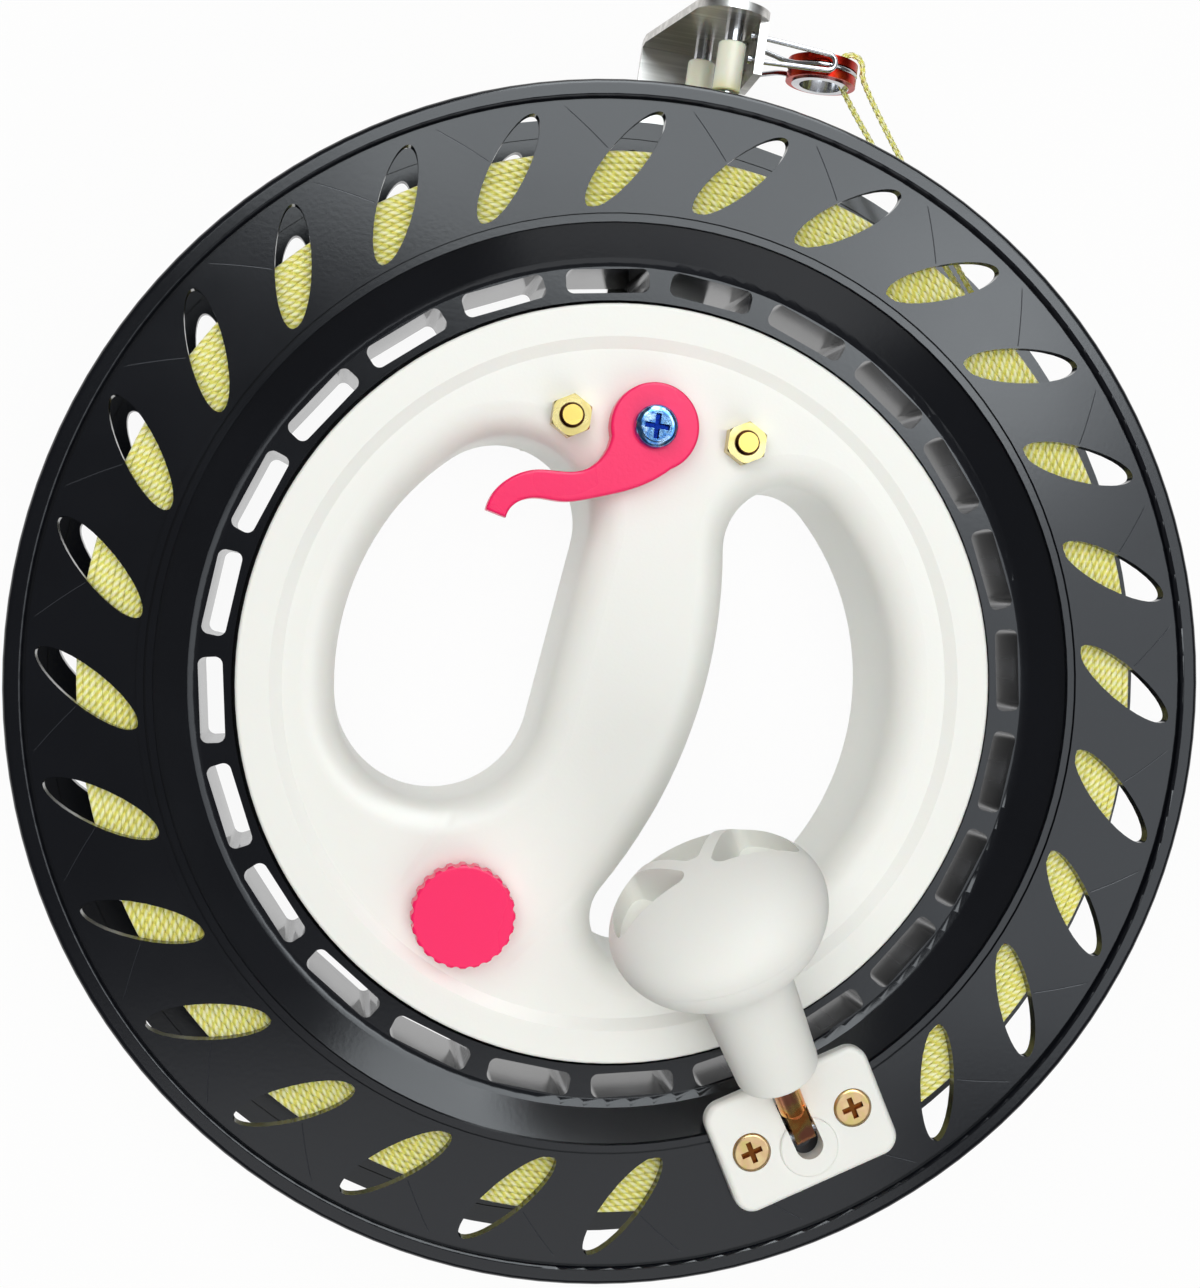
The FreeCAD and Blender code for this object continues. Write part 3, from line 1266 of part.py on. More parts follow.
def make_handle_base():
    # Drawn with the radius along X, then turned to the crank's place on the flange.
    middle = plate_centre
    low = middle - s("plate_short") / 2
    high = middle + s("plate_short") / 2
    half = s("plate_long") / 2
    top = face + s("plate_height")
    corners = [(low, -half), (high, -half), (high, half), (low, half)]
    body = plate(corners, face, s("plate_height"), "base_plate")
    round_edges(body, s("plate_corner"), lambda edge: edge.BoundBox.ZLength > 1)
    round_edges(body, s("plate_edge"), lambda edge: abs(edge.BoundBox.ZMin - float(top)) < 0.01)
    boss = rounded(cylinder(s("boss_radius"), s("boss_rise") + 1, (middle + s("boss_shift"), 0, top - 1)),
                   0.4, lambda edge: edge.BoundBox.ZMin > float(top) + 0.1)
    pivot = middle + s("pivot_shift")
    yaw = Rotation(AXIS, float(s("crank_yaw")))
    half_slot = s("slot_width") / 2
    outer = s("slot_outer") - half_slot
    slot_end = cylinder(half_slot, s("plate_height") + 4, (outer - s("pivot_shift"), 0, -1))
    slot = box((-s("slot_inner"), -half_slot, -1),
               (outer - s("pivot_shift"), half_slot, s("plate_height") + 3))
    channel = box((-s("plate_short"), -half_slot, s("channel_floor")), (0, half_slot, s("plate_height") + 3))
    pin_hole = cylinder(s("pivot_radius"), s("pivot_length"),
                        (0, -s("pivot_length") / 2, s("pivot_height")), "y")
    shape = shape_of(joined(slot_end, slot, channel, pin_hole))
    shape.Placement = Placement(Vector(float(pivot), 0, float(face)), yaw)
    relief = box((low - 1, -half - 1, face - 1),
                 (beads_end + 0.3, half + 1, face + s("plate_relief")))
    tools = [solid(shape, "slot"), relief]
    for side in (s("screw_spread"), -s("screw_spread")):
        tools.append(cylinder(s("base_screw_radius"), s("plate_height") + 2, (middle, side, face - 1)))
        tools.append(cylinder(s("base_head_radius") + 0.15, 2, (middle, side, top - s("base_head_sink"))))
    keep(turned_by_crank(cut(joined(body, boss), *tools)), "handle_base")


def make_handle_base_screws():
    screws = []
    seat = face + s("plate_height") - s("base_head_sink")
    middle = plate_centre
    for side in (s("screw_spread"), -s("screw_spread")):
        head = rounded(cylinder(s("base_head_radius"), s("base_head_height"), (middle, side, seat)),
                       0.5, lambda edge: edge.BoundBox.ZMin > float(seat) + 0.1)
        shank = cylinder(s("base_screw_radius"), seat - flange_back, (middle, side, flange_back))
        screws.append(cut(joined(head, shank),
                          *cross_tools(middle, side, seat + s("base_head_height"), 4.0, 1)))
    turned_by_crank(group("handle_base_screws", screws))


def crank_frame():
    # Place of the crank: origin on the hinge pin, Z along the shaft, Y along the pin.
    pivot = [float(value) for value in place_on_flange(s("pivot_shift"), 0, s("pivot_height"))]
    across = Rotation(AXIS, float(s("crank_angle") + s("crank_yaw")))
    fold = Rotation(Vector(0, 1, 0), float(s("crank_fold")) - 90)
    return Placement(Vector(*pivot), across), Placement(Vector(*pivot), across.multiply(fold))


def make_crank():
    upright, folded = crank_frame()
    pin = cylinder(s("pivot_radius"), s("pivot_length"), (0, -s("pivot_length") / 2, 0), "y")
    keep(placed(pin, upright), "crank_pin")
    half = s("tongue_width") / 2
    tongue_top = s("tongue_length")
    flat = box((-s("tongue_round"), -half, 0), (s("tongue_round"), half, tongue_top + 1))
    tip = cylinder(s("tongue_round"), s("tongue_width"), (0, -half, 0), "y")
    rod = cylinder(s("shaft_radius"), s("shaft_length") - tongue_top, (0, 0, tongue_top))
    neck = doc.addObject("Part::Cone", "neck")
    bind(neck, Radius1=s("tongue_round"), Radius2=s("shaft_radius"), Height=1.2)
    put(neck, (0, 0, tongue_top - 1.2))
    eye = cylinder(s("pivot_radius") + s("pivot_play"), s("tongue_width") + 2, (0, -half - 1, 0), "y")
    snap_height = s("shaft_length") - 3
    snap_groove = ring_bar(s("shaft_radius") + 0.1, s("snap_radius"), (0, 0, snap_height))
    keep(placed(cut(joined(flat, tip, rod, neck), eye, snap_groove), folded), "crank_shaft")
    ring = cut(ring_bar(s("shaft_radius") + 0.1, s("snap_radius"), (0, 0, snap_height)),
               box((0, -1.2, snap_height - 1), (s("shaft_radius") + 2, 1.2, snap_height + 1)))
    keep(placed(ring, folded), "knob_snap_ring")
    keep(placed(knob_item(snap_height), folded), "crank_knob")


def placed(item, place):
    # The piece as it lies in the winder; its own sizes are in its own frame.
    shape = shape_of(item)
    shape.Placement = place.multiply(shape.Placement)
    return solid(shape)


def knob_item(snap_height):
    low = s("knob_start")
    bore = cylinder(s("shaft_radius") + s("knob_play"), s("shaft_length") + 0.4 - low + 1, (0, 0, low - 1))
    groove = cylinder(s("shaft_radius") + 0.1 + s("snap_radius") + 0.2, 2 * s("snap_radius") + 0.4,
                      (0, 0, snap_height - s("snap_radius") - 0.2))
    return cut(knob_blank(), knob_pockets(), bore, groove)


def arc_round(centre, start, end):
    # The shorter arc from start to end round a centre.
    radius = (start - centre).Length
    middle = ((start - centre).normalize() + (end - centre).normalize()).normalize()
    return Part.Arc(start, centre + middle * radius, end).toShape()


def corner_arc(start, heading, foot, top):
    # The arc that leaves start along its heading and lands on the line from foot to top.
    line = (top - foot).normalize()
    gap = foot - start
    run = (gap.x * line.z - gap.z * line.x) / (heading.x * line.z - heading.z * line.x)
    corner = start + heading * run
    end = corner - line * run
    half_turn = heading.getAngle(-line) / 2
    inward = (end - corner + start - corner).normalize()
    middle = corner + inward * run * (1 / math.sin(half_turn) - 1 / math.tan(half_turn))
    return Part.Arc(start, middle, end).toShape(), end


def knob_blank():
    # One turning: a tapered stem, a fillet, a flattened ball, and a dome with a small flat.
    centre = Vector(0, 0, float(s("knob_centre")))
    ball_radius = float(s("knob_radius"))
    drop = float(s("knob_drop"))
    rise = float(s("knob_rise"))
    edge = float(s("knob_edge"))
    low = float(s("knob_start"))
    flat = float(s("dome_flat"))
    end_radius = float(s("stem_end_radius"))
    neck_turn = math.radians(float(s("neck_turn")))
    foot = Vector(0, 0, low)
    foot_edge = Vector(end_radius - edge, 0, low)
    stem_low = Vector(end_radius, 0, low + edge)
    stem_top = Vector(float(s("stem_radius")), 0, centre.z - drop)
    neck_high = centre + Vector(ball_radius * math.cos(neck_turn), 0, -drop * math.sin(neck_turn))
    heading = Vector(-ball_radius * math.sin(neck_turn), 0, -drop * math.cos(neck_turn)).normalize()
    neck, neck_low = corner_arc(neck_high, heading, stem_low, stem_top)
    widest = centre + Vector(ball_radius, 0, 0)
    lower_ball = Part.Ellipse(widest, centre - Vector(0, 0, drop), centre).toShape(0, neck_turn)
    flat_turn = math.acos(flat / ball_radius)
    dome = Part.Ellipse(widest, centre + Vector(0, 0, rise), centre).toShape(0, flat_turn)
    flat_edge = centre + Vector(flat, 0, rise * math.sin(flat_turn))
    flat_centre = Vector(0, 0, flat_edge.z)
    edges = [
        Part.LineSegment(foot, foot_edge).toShape(),
        arc_round(Vector(end_radius - edge, 0, low + edge), foot_edge, stem_low),
        Part.LineSegment(stem_low, neck_low).toShape(), neck, lower_ball, dome,
        Part.LineSegment(flat_edge, flat_centre).toShape(),
        Part.LineSegment(flat_centre, foot).toShape()]
    outline = Part.Wire(Part.__sortEdges__(edges))
    return solid(Part.Face(outline).revolve(ORIGIN, AXIS, FULL_TURN), "knob_blank")


def knob_pockets():
    # Three pockets in the half of the dome that faces the hub, parted by two ribs.
    top = s("knob_centre") + s("knob_rise")
    floor = top - s("pocket_depth")
    reach = s("knob_radius") - s("pocket_wall")
    disc = cylinder(reach, s("pocket_depth") + 1, (0, 0, floor))
    solid_half = box((s("pocket_past"), -s("knob_radius"), floor - 1),
                     (s("knob_radius"), s("knob_radius"), top + 2))
    ribs = []
    for side in (-1, 1):
        rib = shape_of(box((0, -s("rib_width") / 2, floor - 1),
                           (s("knob_radius"), s("rib_width") / 2, top + 2)))
        turn = Rotation(AXIS, FULL_TURN / 2 + side * float(s("rib_spread")) / 2)
        rib.Placement = Placement(Vector(float(s("pocket_past")), 0, 0), turn).multiply(rib.Placement)
        ribs.append(solid(rib, "rib"))
    return rounded(cut(disc, solid_half, *ribs), s("pocket_round"), lambda edge: edge.BoundBox.ZLength > 5)


# ---- lock ----

# Edges of the lever's tail from the pivot, for a reach of LEVER_DRAWN: the far side, then the near side.
LEVER_DRAWN = 28.5
LEVER_OUTER = ((-7.7, -2.8), (-8.6, -6.4), (-11.6, -9.6), (-16.1, -10.6), (-20.6, -11.0),
               (-26.3, -14.4), (-28.5, -19.5))
LEVER_INNER = ((-24.7, -20.4), (-23.3, -17.6), (-20.6, -16.2), (-15.3, -16.0), (-9.2, -14.4),
               (-1.2, -11.1), (4.0, -7.15))


def lever_points(drawn):
    scale = float(s("lever_reach")) / LEVER_DRAWN
    return [Vector(x, y, 0) * scale for x, y in drawn]


def smooth(points):
    curve = Part.BSplineCurve()
    curve.interpolate(points)
    return curve.toShape()


def make_lock_lever():
    radius = float(s("lever_head"))
    outer_points = lever_points(LEVER_OUTER)
    inner_points = lever_points(LEVER_INNER)
    first = outer_points[0].normalize() * radius
    last = inner_points[-1].normalize() * radius
    outer = smooth([first] + outer_points[1:])
    inner = smooth(inner_points[:-1] + [last])
    tip = Part.LineSegment(outer_points[-1], inner_points[0]).toShape()
    crown = (first + last).normalize() * -radius
    head = Part.Arc(last, crown, first).toShape()
    outline = Part.Wire(Part.__sortEdges__([outer, tip, inner, head]))
    blank = Part.Face(outline).extrude(Vector(0, 0, float(s("lever_height"))))
    blank.translate(Vector(float(s("pivot_x")), float(pivot_y), float(lever_low())))
    edge_height = float(lever_low() + s("lever_height"))
    blank = rounded(solid(blank, "lever_blank"), s("lever_edge"),
                    lambda edge: abs(edge.BoundBox.ZMin - edge_height) < 0.01)
    screw_hole = cylinder(s("lever_screw_radius"), s("lever_height") + 2,
                          (s("pivot_x"), pivot_y, lever_low() - 1))
    keep(cut(blank, screw_hole, stem_key(0)), "lock_lever")


def lever_low():
    return cap_face + s("lever_lift")


def stem_key(lift):
    # The two flats at the stem's end that turn with the lever.
    low = lever_low() - lift
    rod = cylinder(s("lever_stem"), s("key_height") + lift, (s("pivot_x"), pivot_y, low))
    flats = box((s("pivot_x") - s("lever_stem"), pivot_y - s("key_half"), low),
                (s("pivot_x") + s("lever_stem"), pivot_y + s("key_half"), low + s("key_height") + lift))
    return overlap(rod, flats)


def cam_top():
    return cap_inside - s("cam_gap")


def cam_bottom():
    return cam_top() - s("cam_height")


def make_lever_cam():
    x = s("pivot_x")
    y = pivot_y
    disc = cylinder(s("cam_radius"), s("cam_height"), (x, y, cam_bottom()))
    stem = cylinder(s("lever_stem"), lever_low() - cam_top() + 0.5, (x, y, cam_top() - 0.5))
    half_swing = s("lock_swing") / 2
    pin = cylinder(s("eccentric_radius"), cam_bottom() + 0.5 - s("pawl_bottom") - s("slide_play"),
                   (x + s("crank_arm") * cosine(half_swing), y - s("crank_arm") * sine(half_swing),
                    s("pawl_bottom") + s("slide_play")))
    bore = cylinder(s("lever_screw_radius"), s("cam_height") + 9, (x, y, cam_bottom() - 1))
    pocket = solid(shape_of(hexagon_bar(s("nut_flats"), s("thin_nut"))), "nut_pocket")
    put(pocket, (x, y, cam_bottom()))
    keep(cut(joined(disc, stem, pin, stem_key(0.5)), bore, pocket), "lever_cam")


def make_lever_screw():
    x = s("pivot_x")
    y = pivot_y
    seat = lever_low() + s("lever_height")
    head = rounded(cylinder(s("lever_screw_head"), s("lever_head_height"), (x, y, seat)), 1.2,
                   lambda edge: edge.BoundBox.ZMin > float(seat) + 0.1)
    shank = cylinder(s("lever_screw_radius"), seat - cam_bottom(), (x, y, cam_bottom()))
    keep(cut(joined(head, shank), *cross_tools(x, y, seat + s("lever_head_height"), 4.6, 1)), "lever_screw")
    nut = cut(hexagon_bar(s("nut_flats"), s("thin_nut")),
              cylinder(s("lever_screw_radius"), s("thin_nut") + 2, (0, 0, -1)))
    put(nut, (x, y, cam_bottom()))
    keep(nut, "lever_nut")


def make_lock_pawl():
    half = s("pawl_width") / 2
    x = s("pivot_x")
    y = pivot_y
    low = s("pawl_bottom")
    top = low + s("pawl_height")
    swing = s("lock_swing") / 2
    pin_y = y - s("crank_arm") * sine(swing)
    slot_half = s("eccentric_radius") + s("slide_play")
    slot_low = s("crank_arm") * cosine(swing) - slot_half
    slot_high = s("crank_arm") + slot_half
    tail = box((x - half, pin_y - slot_half - s("pawl_wall"), low),
               (x + slot_high + s("pawl_wall"), pin_y + slot_half + 2 * s("pawl_wall"), top))
    bar = box((x - half, pin_y, low), (x + half, pawl_tip, top))
    blank = rounded(joined(tail, bar), 0.6, lambda edge: pawl_corner(edge, float(pawl_tip)))
    slot = box((x + slot_low, pin_y - slot_half, low - 1), (x + slot_high, pin_y + slot_half, top + 1))
    keep(cut(blank, slot), "lock_pawl")


def pawl_corner(edge, tip):
    # The two upright edges at the pawl's tip.
    return edge.BoundBox.ZLength > 1 and abs(edge.BoundBox.YMin - tip) < 0.01


# ---- brake ----

def shoe_top():
    return s("shoe_bottom") + s("shoe_height")


def knob_low():
    return cap_face + s("lever_lift")


def make_brake_knob():
    x = brake_x
    y = brake_y
    blank = rounded(cylinder(s("brake_radius"), s("brake_height"), (x, y, knob_low())), 0.7,
                    lambda edge: edge.BoundBox.ZMin > float(knob_low()) + 1)
    tooth_gap = float(s("brake_radius")) * math.pi / KNOB_TEETH
    valleys = []
    for index in range(KNOB_TEETH):
        turn = 360 / KNOB_TEETH * index
        reach = s("brake_radius") + tooth_gap * 0.45
        valleys.append(cylinder(tooth_gap * 0.8, s("brake_height") + 2,
                                (x + reach * cosine(turn), y + reach * sine(turn), knob_low() - 1)))
    key = brake_key(0)
    screw = cylinder(s("brake_screw_radius"), s("brake_height") - 1.2, (x, y, knob_low() - 1))
    keep(cut(blank, joined(*valleys), key, screw), "brake_knob")


def brake_key(lift):
    half = s("brake_key") / 2
    low = knob_low() - lift
    return box((brake_x - half, brake_y - half, low),
               (brake_x + half, brake_y + half, knob_low() + s("key_height")))


def make_brake_cam():
    x = brake_x
    y = brake_y
    low = s("shoe_bottom") + 0.1
    stud = cylinder(s("cam_low") + s("cam_rise") + 0.1, knob_low() - shoe_top(), (x, y, shoe_top()))
    journal_low = s("shoe_bottom") - s("slide_play") - s("guide_floor") - 0.15
    journal = cylinder(s("brake_journal"), low + 0.5 - journal_low, (x, y, journal_low))
    screw = cylinder(s("brake_screw_radius"), knob_low() + 3 - journal_low, (x, y, journal_low - 1))
    keep(cut(joined(cam_plate(low), stud, journal, brake_key(0.5)), screw), "brake_cam")


def cam_plate(low):
    # The cam's radius rises evenly over half a turn, on both sides of its low point.
    points = []
    steps = 32
    for index in range(steps):
        turn = 2 * math.pi * index / steps
        half_turns = min(turn, 2 * math.pi - turn) / math.pi
        radius = float(s("cam_low")) + float(s("cam_rise")) * half_turns
        points.append(Vector(radius * math.cos(turn), radius * math.sin(turn), 0))
    curve = Part.BSplineCurve()
    curve.interpolate(points, PeriodicFlag=True)
    shape = Part.Face(Part.Wire(curve.toShape())).extrude(Vector(0, 0, float(shoe_top() - low)))
    shape.Placement = Placement(Vector(float(brake_x), float(brake_y), float(low)),
                                Rotation(AXIS, float(s("brake_place"))))
    return solid(shape, "cam_plate")


def make_brake_cam_screw():
    x = brake_x
    y = brake_y
    journal_low = s("shoe_bottom") - s("slide_play") - s("guide_floor") - 0.15
    washer_low = journal_low - s("washer_height")
    keep(cut(cylinder(s("washer_radius"), s("washer_height"), (x, y, washer_low)),
             cylinder(s("brake_screw_radius"), s("washer_height") + 2, (x, y, washer_low - 1))),
         "brake_washer")
    head_low = washer_low - 1.6
    head = cylinder(2.8, 1.6, (x, y, head_low))
    shank = cylinder(s("brake_screw_radius"), knob_low() + 2 - washer_low, (x, y, washer_low))
    keep(cut(joined(head, shank), *cross_tools(x, y, head_low, 3.2, -1)), "brake_cam_screw")


def sector(inner, outer, half_angle, low, height):
    # A piece of a ring round the spin axis, centred on the brake's radial line.
    ring = doc.addObject("Part::Cylinder", "sector")
    bind(ring, Radius=outer, Height=height, Angle=2 * sized(half_angle))
    ring.Placement = Placement(Vector(0, 0, float(low)), Rotation(AXIS, float(s("brake_place") - half_angle)))
    return cut(ring, cylinder(inner, height + 2, (0, 0, low - 1)))


def make_brake_shoe():
    half = s("shoe_width") / 2
    low = s("shoe_bottom")
    pad_inner = core_bore - s("cam_rise") - s("pad_play") - s("pad_width")
    bar = brake_box(-s("shoe_back"), pad_inner - brake_distance + 0.5, half, low, shoe_top())
    follower = s("cam_low") + s("brake_play")
    back = s("cam_low") + s("cam_rise") + s("cam_rise") + 0.4
    window = brake_box(-back, follower, s("cam_low") + s("cam_rise") + 0.6, low - 1, shoe_top() + 1)
    carrier = sector(pad_inner - s("carrier_width"), pad_inner, s("pad_angle") / 2, low, s("shoe_height"))
    keep(cut(joined(bar, carrier), window, sector(pad_inner, core_bore, 20, low - 1, 5)), "brake_shoe")
    keep(sector(pad_inner, pad_inner + s("pad_width"), s("pad_angle") / 2, low, s("pad_height")), "brake_pad")


# ---- the winder ----

def check_all():
    doc.recompute()
    faults = []
    for item in doc.Objects:
        if any(word in item.State for word in ("Invalid", "Error")):
            faults.append("%s (%s) is %s" % (item.Name, item.Label, item.State))
    for item in parts:
        if item.Shape.isNull() or not item.Shape.isValid():
            faults.append("%s has no valid shape" % item.Label)
    if faults:
        raise RuntimeError("; ".join(faults))


def main():
    fill_sheet()
    make_front_flange()
    make_rear_flange()
    make_spool_screws()
    make_line_winding()
    make_bearing()
    make_hub_front_shell()
    make_hub_rear_shell()
    make_shell_screws()
    make_guide_bracket()
    make_bracket_bolts()
    make_rollers()
    make_guide_ring()
    make_snap_loop()
    make_ring_wire()
    make_guide_line()
    make_handle_base()
    make_handle_base_screws()
    make_crank()
    make_lock_lever()
    make_lever_cam()
    make_lever_screw()
    make_lock_pawl()
    make_brake_knob()
    make_brake_cam()
    make_brake_cam_screw()
    make_brake_shoe()
    check_all()
    os.makedirs("parts", exist_ok=True)
    for item in parts:
        item.Shape.exportStep("parts/%s.step" % item.Label)
        print("%-22s %10.1f mm3, %d solids" % (item.Label, item.Shape.Volume, len(item.Shape.Solids)))


main()
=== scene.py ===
import math

import bmesh
import bpy
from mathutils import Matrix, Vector, noise


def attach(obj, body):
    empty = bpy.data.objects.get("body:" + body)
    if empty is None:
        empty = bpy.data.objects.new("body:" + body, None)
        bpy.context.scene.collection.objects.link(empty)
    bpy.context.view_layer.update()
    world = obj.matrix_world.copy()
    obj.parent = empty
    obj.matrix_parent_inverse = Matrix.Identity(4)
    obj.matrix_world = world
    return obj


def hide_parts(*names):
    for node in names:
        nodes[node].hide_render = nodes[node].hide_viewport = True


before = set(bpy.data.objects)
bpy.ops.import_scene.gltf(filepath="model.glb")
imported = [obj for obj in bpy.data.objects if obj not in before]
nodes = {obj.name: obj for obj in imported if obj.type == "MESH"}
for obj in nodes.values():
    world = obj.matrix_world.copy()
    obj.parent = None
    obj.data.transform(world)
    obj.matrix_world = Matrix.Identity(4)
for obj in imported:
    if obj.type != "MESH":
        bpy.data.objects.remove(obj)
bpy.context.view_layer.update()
mm = 0.001
fullTurn = 2 * math.pi


class Wire:
    # One output of a shader node; each operator on it adds a Math node.
    def __init__(self, paint, socket):
        self.paint = paint
        self.socket = socket

    def math(self, operation, *values):
        return self.paint.node("Math", {"operation": operation}, dict(enumerate((self,) + values)))

    def out(self, name):
        return Wire(self.paint, self.socket.node.outputs[name])

    def __add__(self, other):
        return self.math("ADD", other)

    def __radd__(self, other):
        return self.math("ADD", other)

    def __sub__(self, other):
        return self.math("SUBTRACT", other)

    def __rsub__(self, other):
        return self.paint.node("Math", {"operation": "SUBTRACT"}, {0: other, 1: self})

    def __mul__(self, other):
        return self.math("MULTIPLY", other)

    def __rmul__(self, other):
        return self.math("MULTIPLY", other)

    def __truediv__(self, other):
        return self.math("DIVIDE", other)

    def __mod__(self, other):
        return self.math("FLOORED_MODULO", other)

    def __pow__(self, other):
        return self.math("POWER", other)

    def __abs__(self):
        return self.math("ABSOLUTE")


class Paint:
    # One material, with short ways to add nodes to it.
    def __init__(self, name, **sockets):
        self.material = bpy.data.materials.new(name)
        self.material.use_nodes = True
        self.tree = self.material.node_tree
        self.shader = self.tree.nodes["Principled BSDF"]
        self.fill(**sockets)

    def plug(self, socket, value):
        if isinstance(value, Wire):
            self.tree.links.new(value.socket, socket)
        else:
            socket.default_value = value

    def fill(self, **sockets):
        for name, value in sockets.items():
            spaced = "".join(" " + letter if letter.isupper() else letter for letter in name).strip()
            self.plug(self.shader.inputs[spaced.replace("I O R", "IOR")], value)

    def node(self, kind, settings=None, values=None, out=0):
        made = self.tree.nodes.new("ShaderNode" + kind)
        for name, value in (settings or {}).items():
            if name == "stops":
                for stop, (place, colour) in zip(addStops(made.color_ramp, len(value)), value):
                    stop.position = place
                    stop.color = colour
            else:
                setattr(made, name, value)
        for name, value in (values or {}).items():
            self.plug(made.inputs[name], value)
        return Wire(self, made.outputs[out])

    def place(self):
        return self.node("TexCoord", out="Object")

    def axes(self):
        # That place split into X, Y and Z, in metres.
        across = self.node("SeparateXYZ", {}, {0: self.place()}, "X")
        return across, across.out("Y"), across.out("Z")

    def colour(self):
        # The colour laid on so far.
        return Wire(self, self.shader.inputs["Base Color"].links[0].from_socket)

    def noise(self, size, detail=3.0, stretch=(1, 1, 1)):
        # Noise whose blotches are about size metres across.
        scaled = self.node("Mapping", {}, {"Vector": self.place(), "Scale": stretch})
        return self.node("TexNoise", {}, {"Vector": scaled, "Scale": 0.5 / size, "Detail": detail})

    def bump(self, height, depth, strength):
        return self.node("Bump", {}, {"Height": height, "Distance": depth, "Strength": strength}, "Normal")

    def blend(self, factor, first, second):
        return self.node("Mix", {"data_type": "RGBA"}, {0: factor, 6: first, 7: second}, 2)

    def step(self, value, low, high):
        # Rises smoothly from 0 to 1 as the value goes from low to high.
        return self.node("MapRange", {"interpolation_type": "SMOOTHSTEP"},
                         {"Value": value, "From Min": low, "From Max": high})


def addStops(ramp, count):
    while len(ramp.elements) < count:
        ramp.elements.new(0.5)
    return ramp.elements


def shade(red, green, blue):
    # A colour as it shows on a screen, 0 to 255, turned to the linear one.
    def linear(value):
        value /= 255
        return value / 12.92 if value <= 0.04045 else ((value + 0.055) / 1.055) ** 2.4
    return (linear(red), linear(green), linear(blue), 1.0)


def dress(names, paint):
    for name in names:
        slots = nodes[name].data.materials
        slots.clear()
        slots.append(paint.material)


def addMesh(name, verts, faces, paint):
    mesh = bpy.data.meshes.new(name)
    mesh.from_pydata(verts, [], faces)
    mesh.update()
    item = bpy.data.objects.new(name, mesh)
    bpy.context.scene.collection.objects.link(item)
    mesh.materials.append(paint.material)
    for face in mesh.polygons:
        face.use_smooth = True
    return item


# Camera and room

camera = dict(place=(-55.051, 9.067, 393.345), turn=(-1.4709, -7.8198, 8.2523), lens=59.085, sensor=36,
              nearest=0.01)


def addCamera():
    eye = bpy.data.cameras.new("camera")
    eye.lens = camera["lens"]
    eye.sensor_fit = "HORIZONTAL"
    eye.sensor_width = camera["sensor"]
    eye.clip_start = camera["nearest"]
    item = bpy.data.objects.new("camera", eye)
    item.location = [value * mm for value in camera["place"]]
    item.rotation_euler = [math.radians(value) for value in camera["turn"]]
    bpy.context.scene.collection.objects.link(item)
    bpy.context.scene.camera = item


room = dict(floorSize=16.0, floorGap=0.0003, floorShade=0.80, floorRough=0.9, glow=0.94, sky=0.12,
            # Each lamp: place, size, watts, colour. The panels show only as reflections, and the soft
            # lamps only light the surfaces, so that black and white plastic can both be set.
            panels={
                "topPanel": ((0.15, 0.60, 0.95), 0.85, 9.6, (0.90, 0.96, 1.0)),
                "rightPanel": ((0.62, 0.06, 1.02), 0.65, 2.3, (0.88, 0.94, 1.0)),
                "frontPanel": ((0.10, -0.66, 1.00), 0.80, 2.0, (0.94, 0.97, 1.0)),
                "backPanel": ((0.10, 1.10, 0.50), 0.70, 9.0, (0.90, 0.96, 1.0))},
            softLamps={
                "softTop": ((0.0, 0.10, 1.20), 1.20, 8.9, (1.0, 0.992, 0.972)),
                "softFront": ((0.50, -0.80, 0.70), 0.80, 4.4, (1.0, 0.992, 0.972)),
                "softBack": ((-0.60, 0.60, 0.80), 0.80, 4.4, (1.0, 0.992, 0.972))})


def addLamp(name, place, size, watts, colour):
    lamp = bpy.data.lights.new(name, "AREA")
    lamp.shape = "SQUARE"
    lamp.size = size
    lamp.energy = watts
    lamp.color = colour
    item = bpy.data.objects.new(name, lamp)
    item.location = place
    item.rotation_euler = Vector(place).to_track_quat("Z", "Y").to_euler()
    bpy.context.scene.collection.objects.link(item)
    return item


def addLamps():
    for name, settings in room["panels"].items():
        addLamp(name, *settings).visible_diffuse = False
    for name, settings in room["softLamps"].items():
        addLamp(name, *settings).visible_glossy = False


def addFloor():
    # The camera, glass and reflections see the floor glow white; its shadows come from the plain paint.
    paint = Paint("floorPaint", BaseColor=(room["floorShade"],) * 3 + (1.0,), Roughness=room["floorRough"])
    rays = paint.node("LightPath", out="Is Camera Ray")
    seen = rays.math("MAXIMUM", rays.out("Is Transmission Ray")).math("MAXIMUM", rays.out("Is Glossy Ray"))
    plain = Wire(paint, paint.shader.outputs[0])
    glow = paint.node("Emission", {}, {"Color": (1, 1, 1, 1), "Strength": 1.0})
    surface = paint.node("MixShader", {}, {0: seen * room["glow"], 1: plain, 2: glow})
    output = paint.tree.nodes["Material Output"]
    paint.tree.links.new(surface.socket, output.inputs["Surface"])
    half = room["floorSize"] / 2
    low = -room["floorGap"]
    corners = [(-half, -half, low), (half, -half, low), (half, half, low), (-half, half, low)]
    addMesh("floor", corners, [(0, 1, 2, 3)], paint)


def addSky():
    # The camera sees a white sky; only the dim one lights the object.
    world = bpy.data.worlds.new("room")
    world.use_nodes = True
    tree = world.node_tree
    background = tree.nodes["Background"]
    background.inputs["Color"].default_value = (1, 1, 1, 1)
    rays = tree.nodes.new("ShaderNodeLightPath")
    level = tree.nodes.new("ShaderNodeMapRange")
    level.inputs["To Min"].default_value = room["sky"]
    level.inputs["To Max"].default_value = 1.0
    tree.links.new(rays.outputs["Is Camera Ray"], level.inputs["Value"])
    tree.links.new(level.outputs[0], background.inputs["Strength"])
    bpy.context.scene.world = world
    bpy.context.scene.view_settings.view_transform = "Standard"


# Black flanges; sizes on the solids are in millimetres

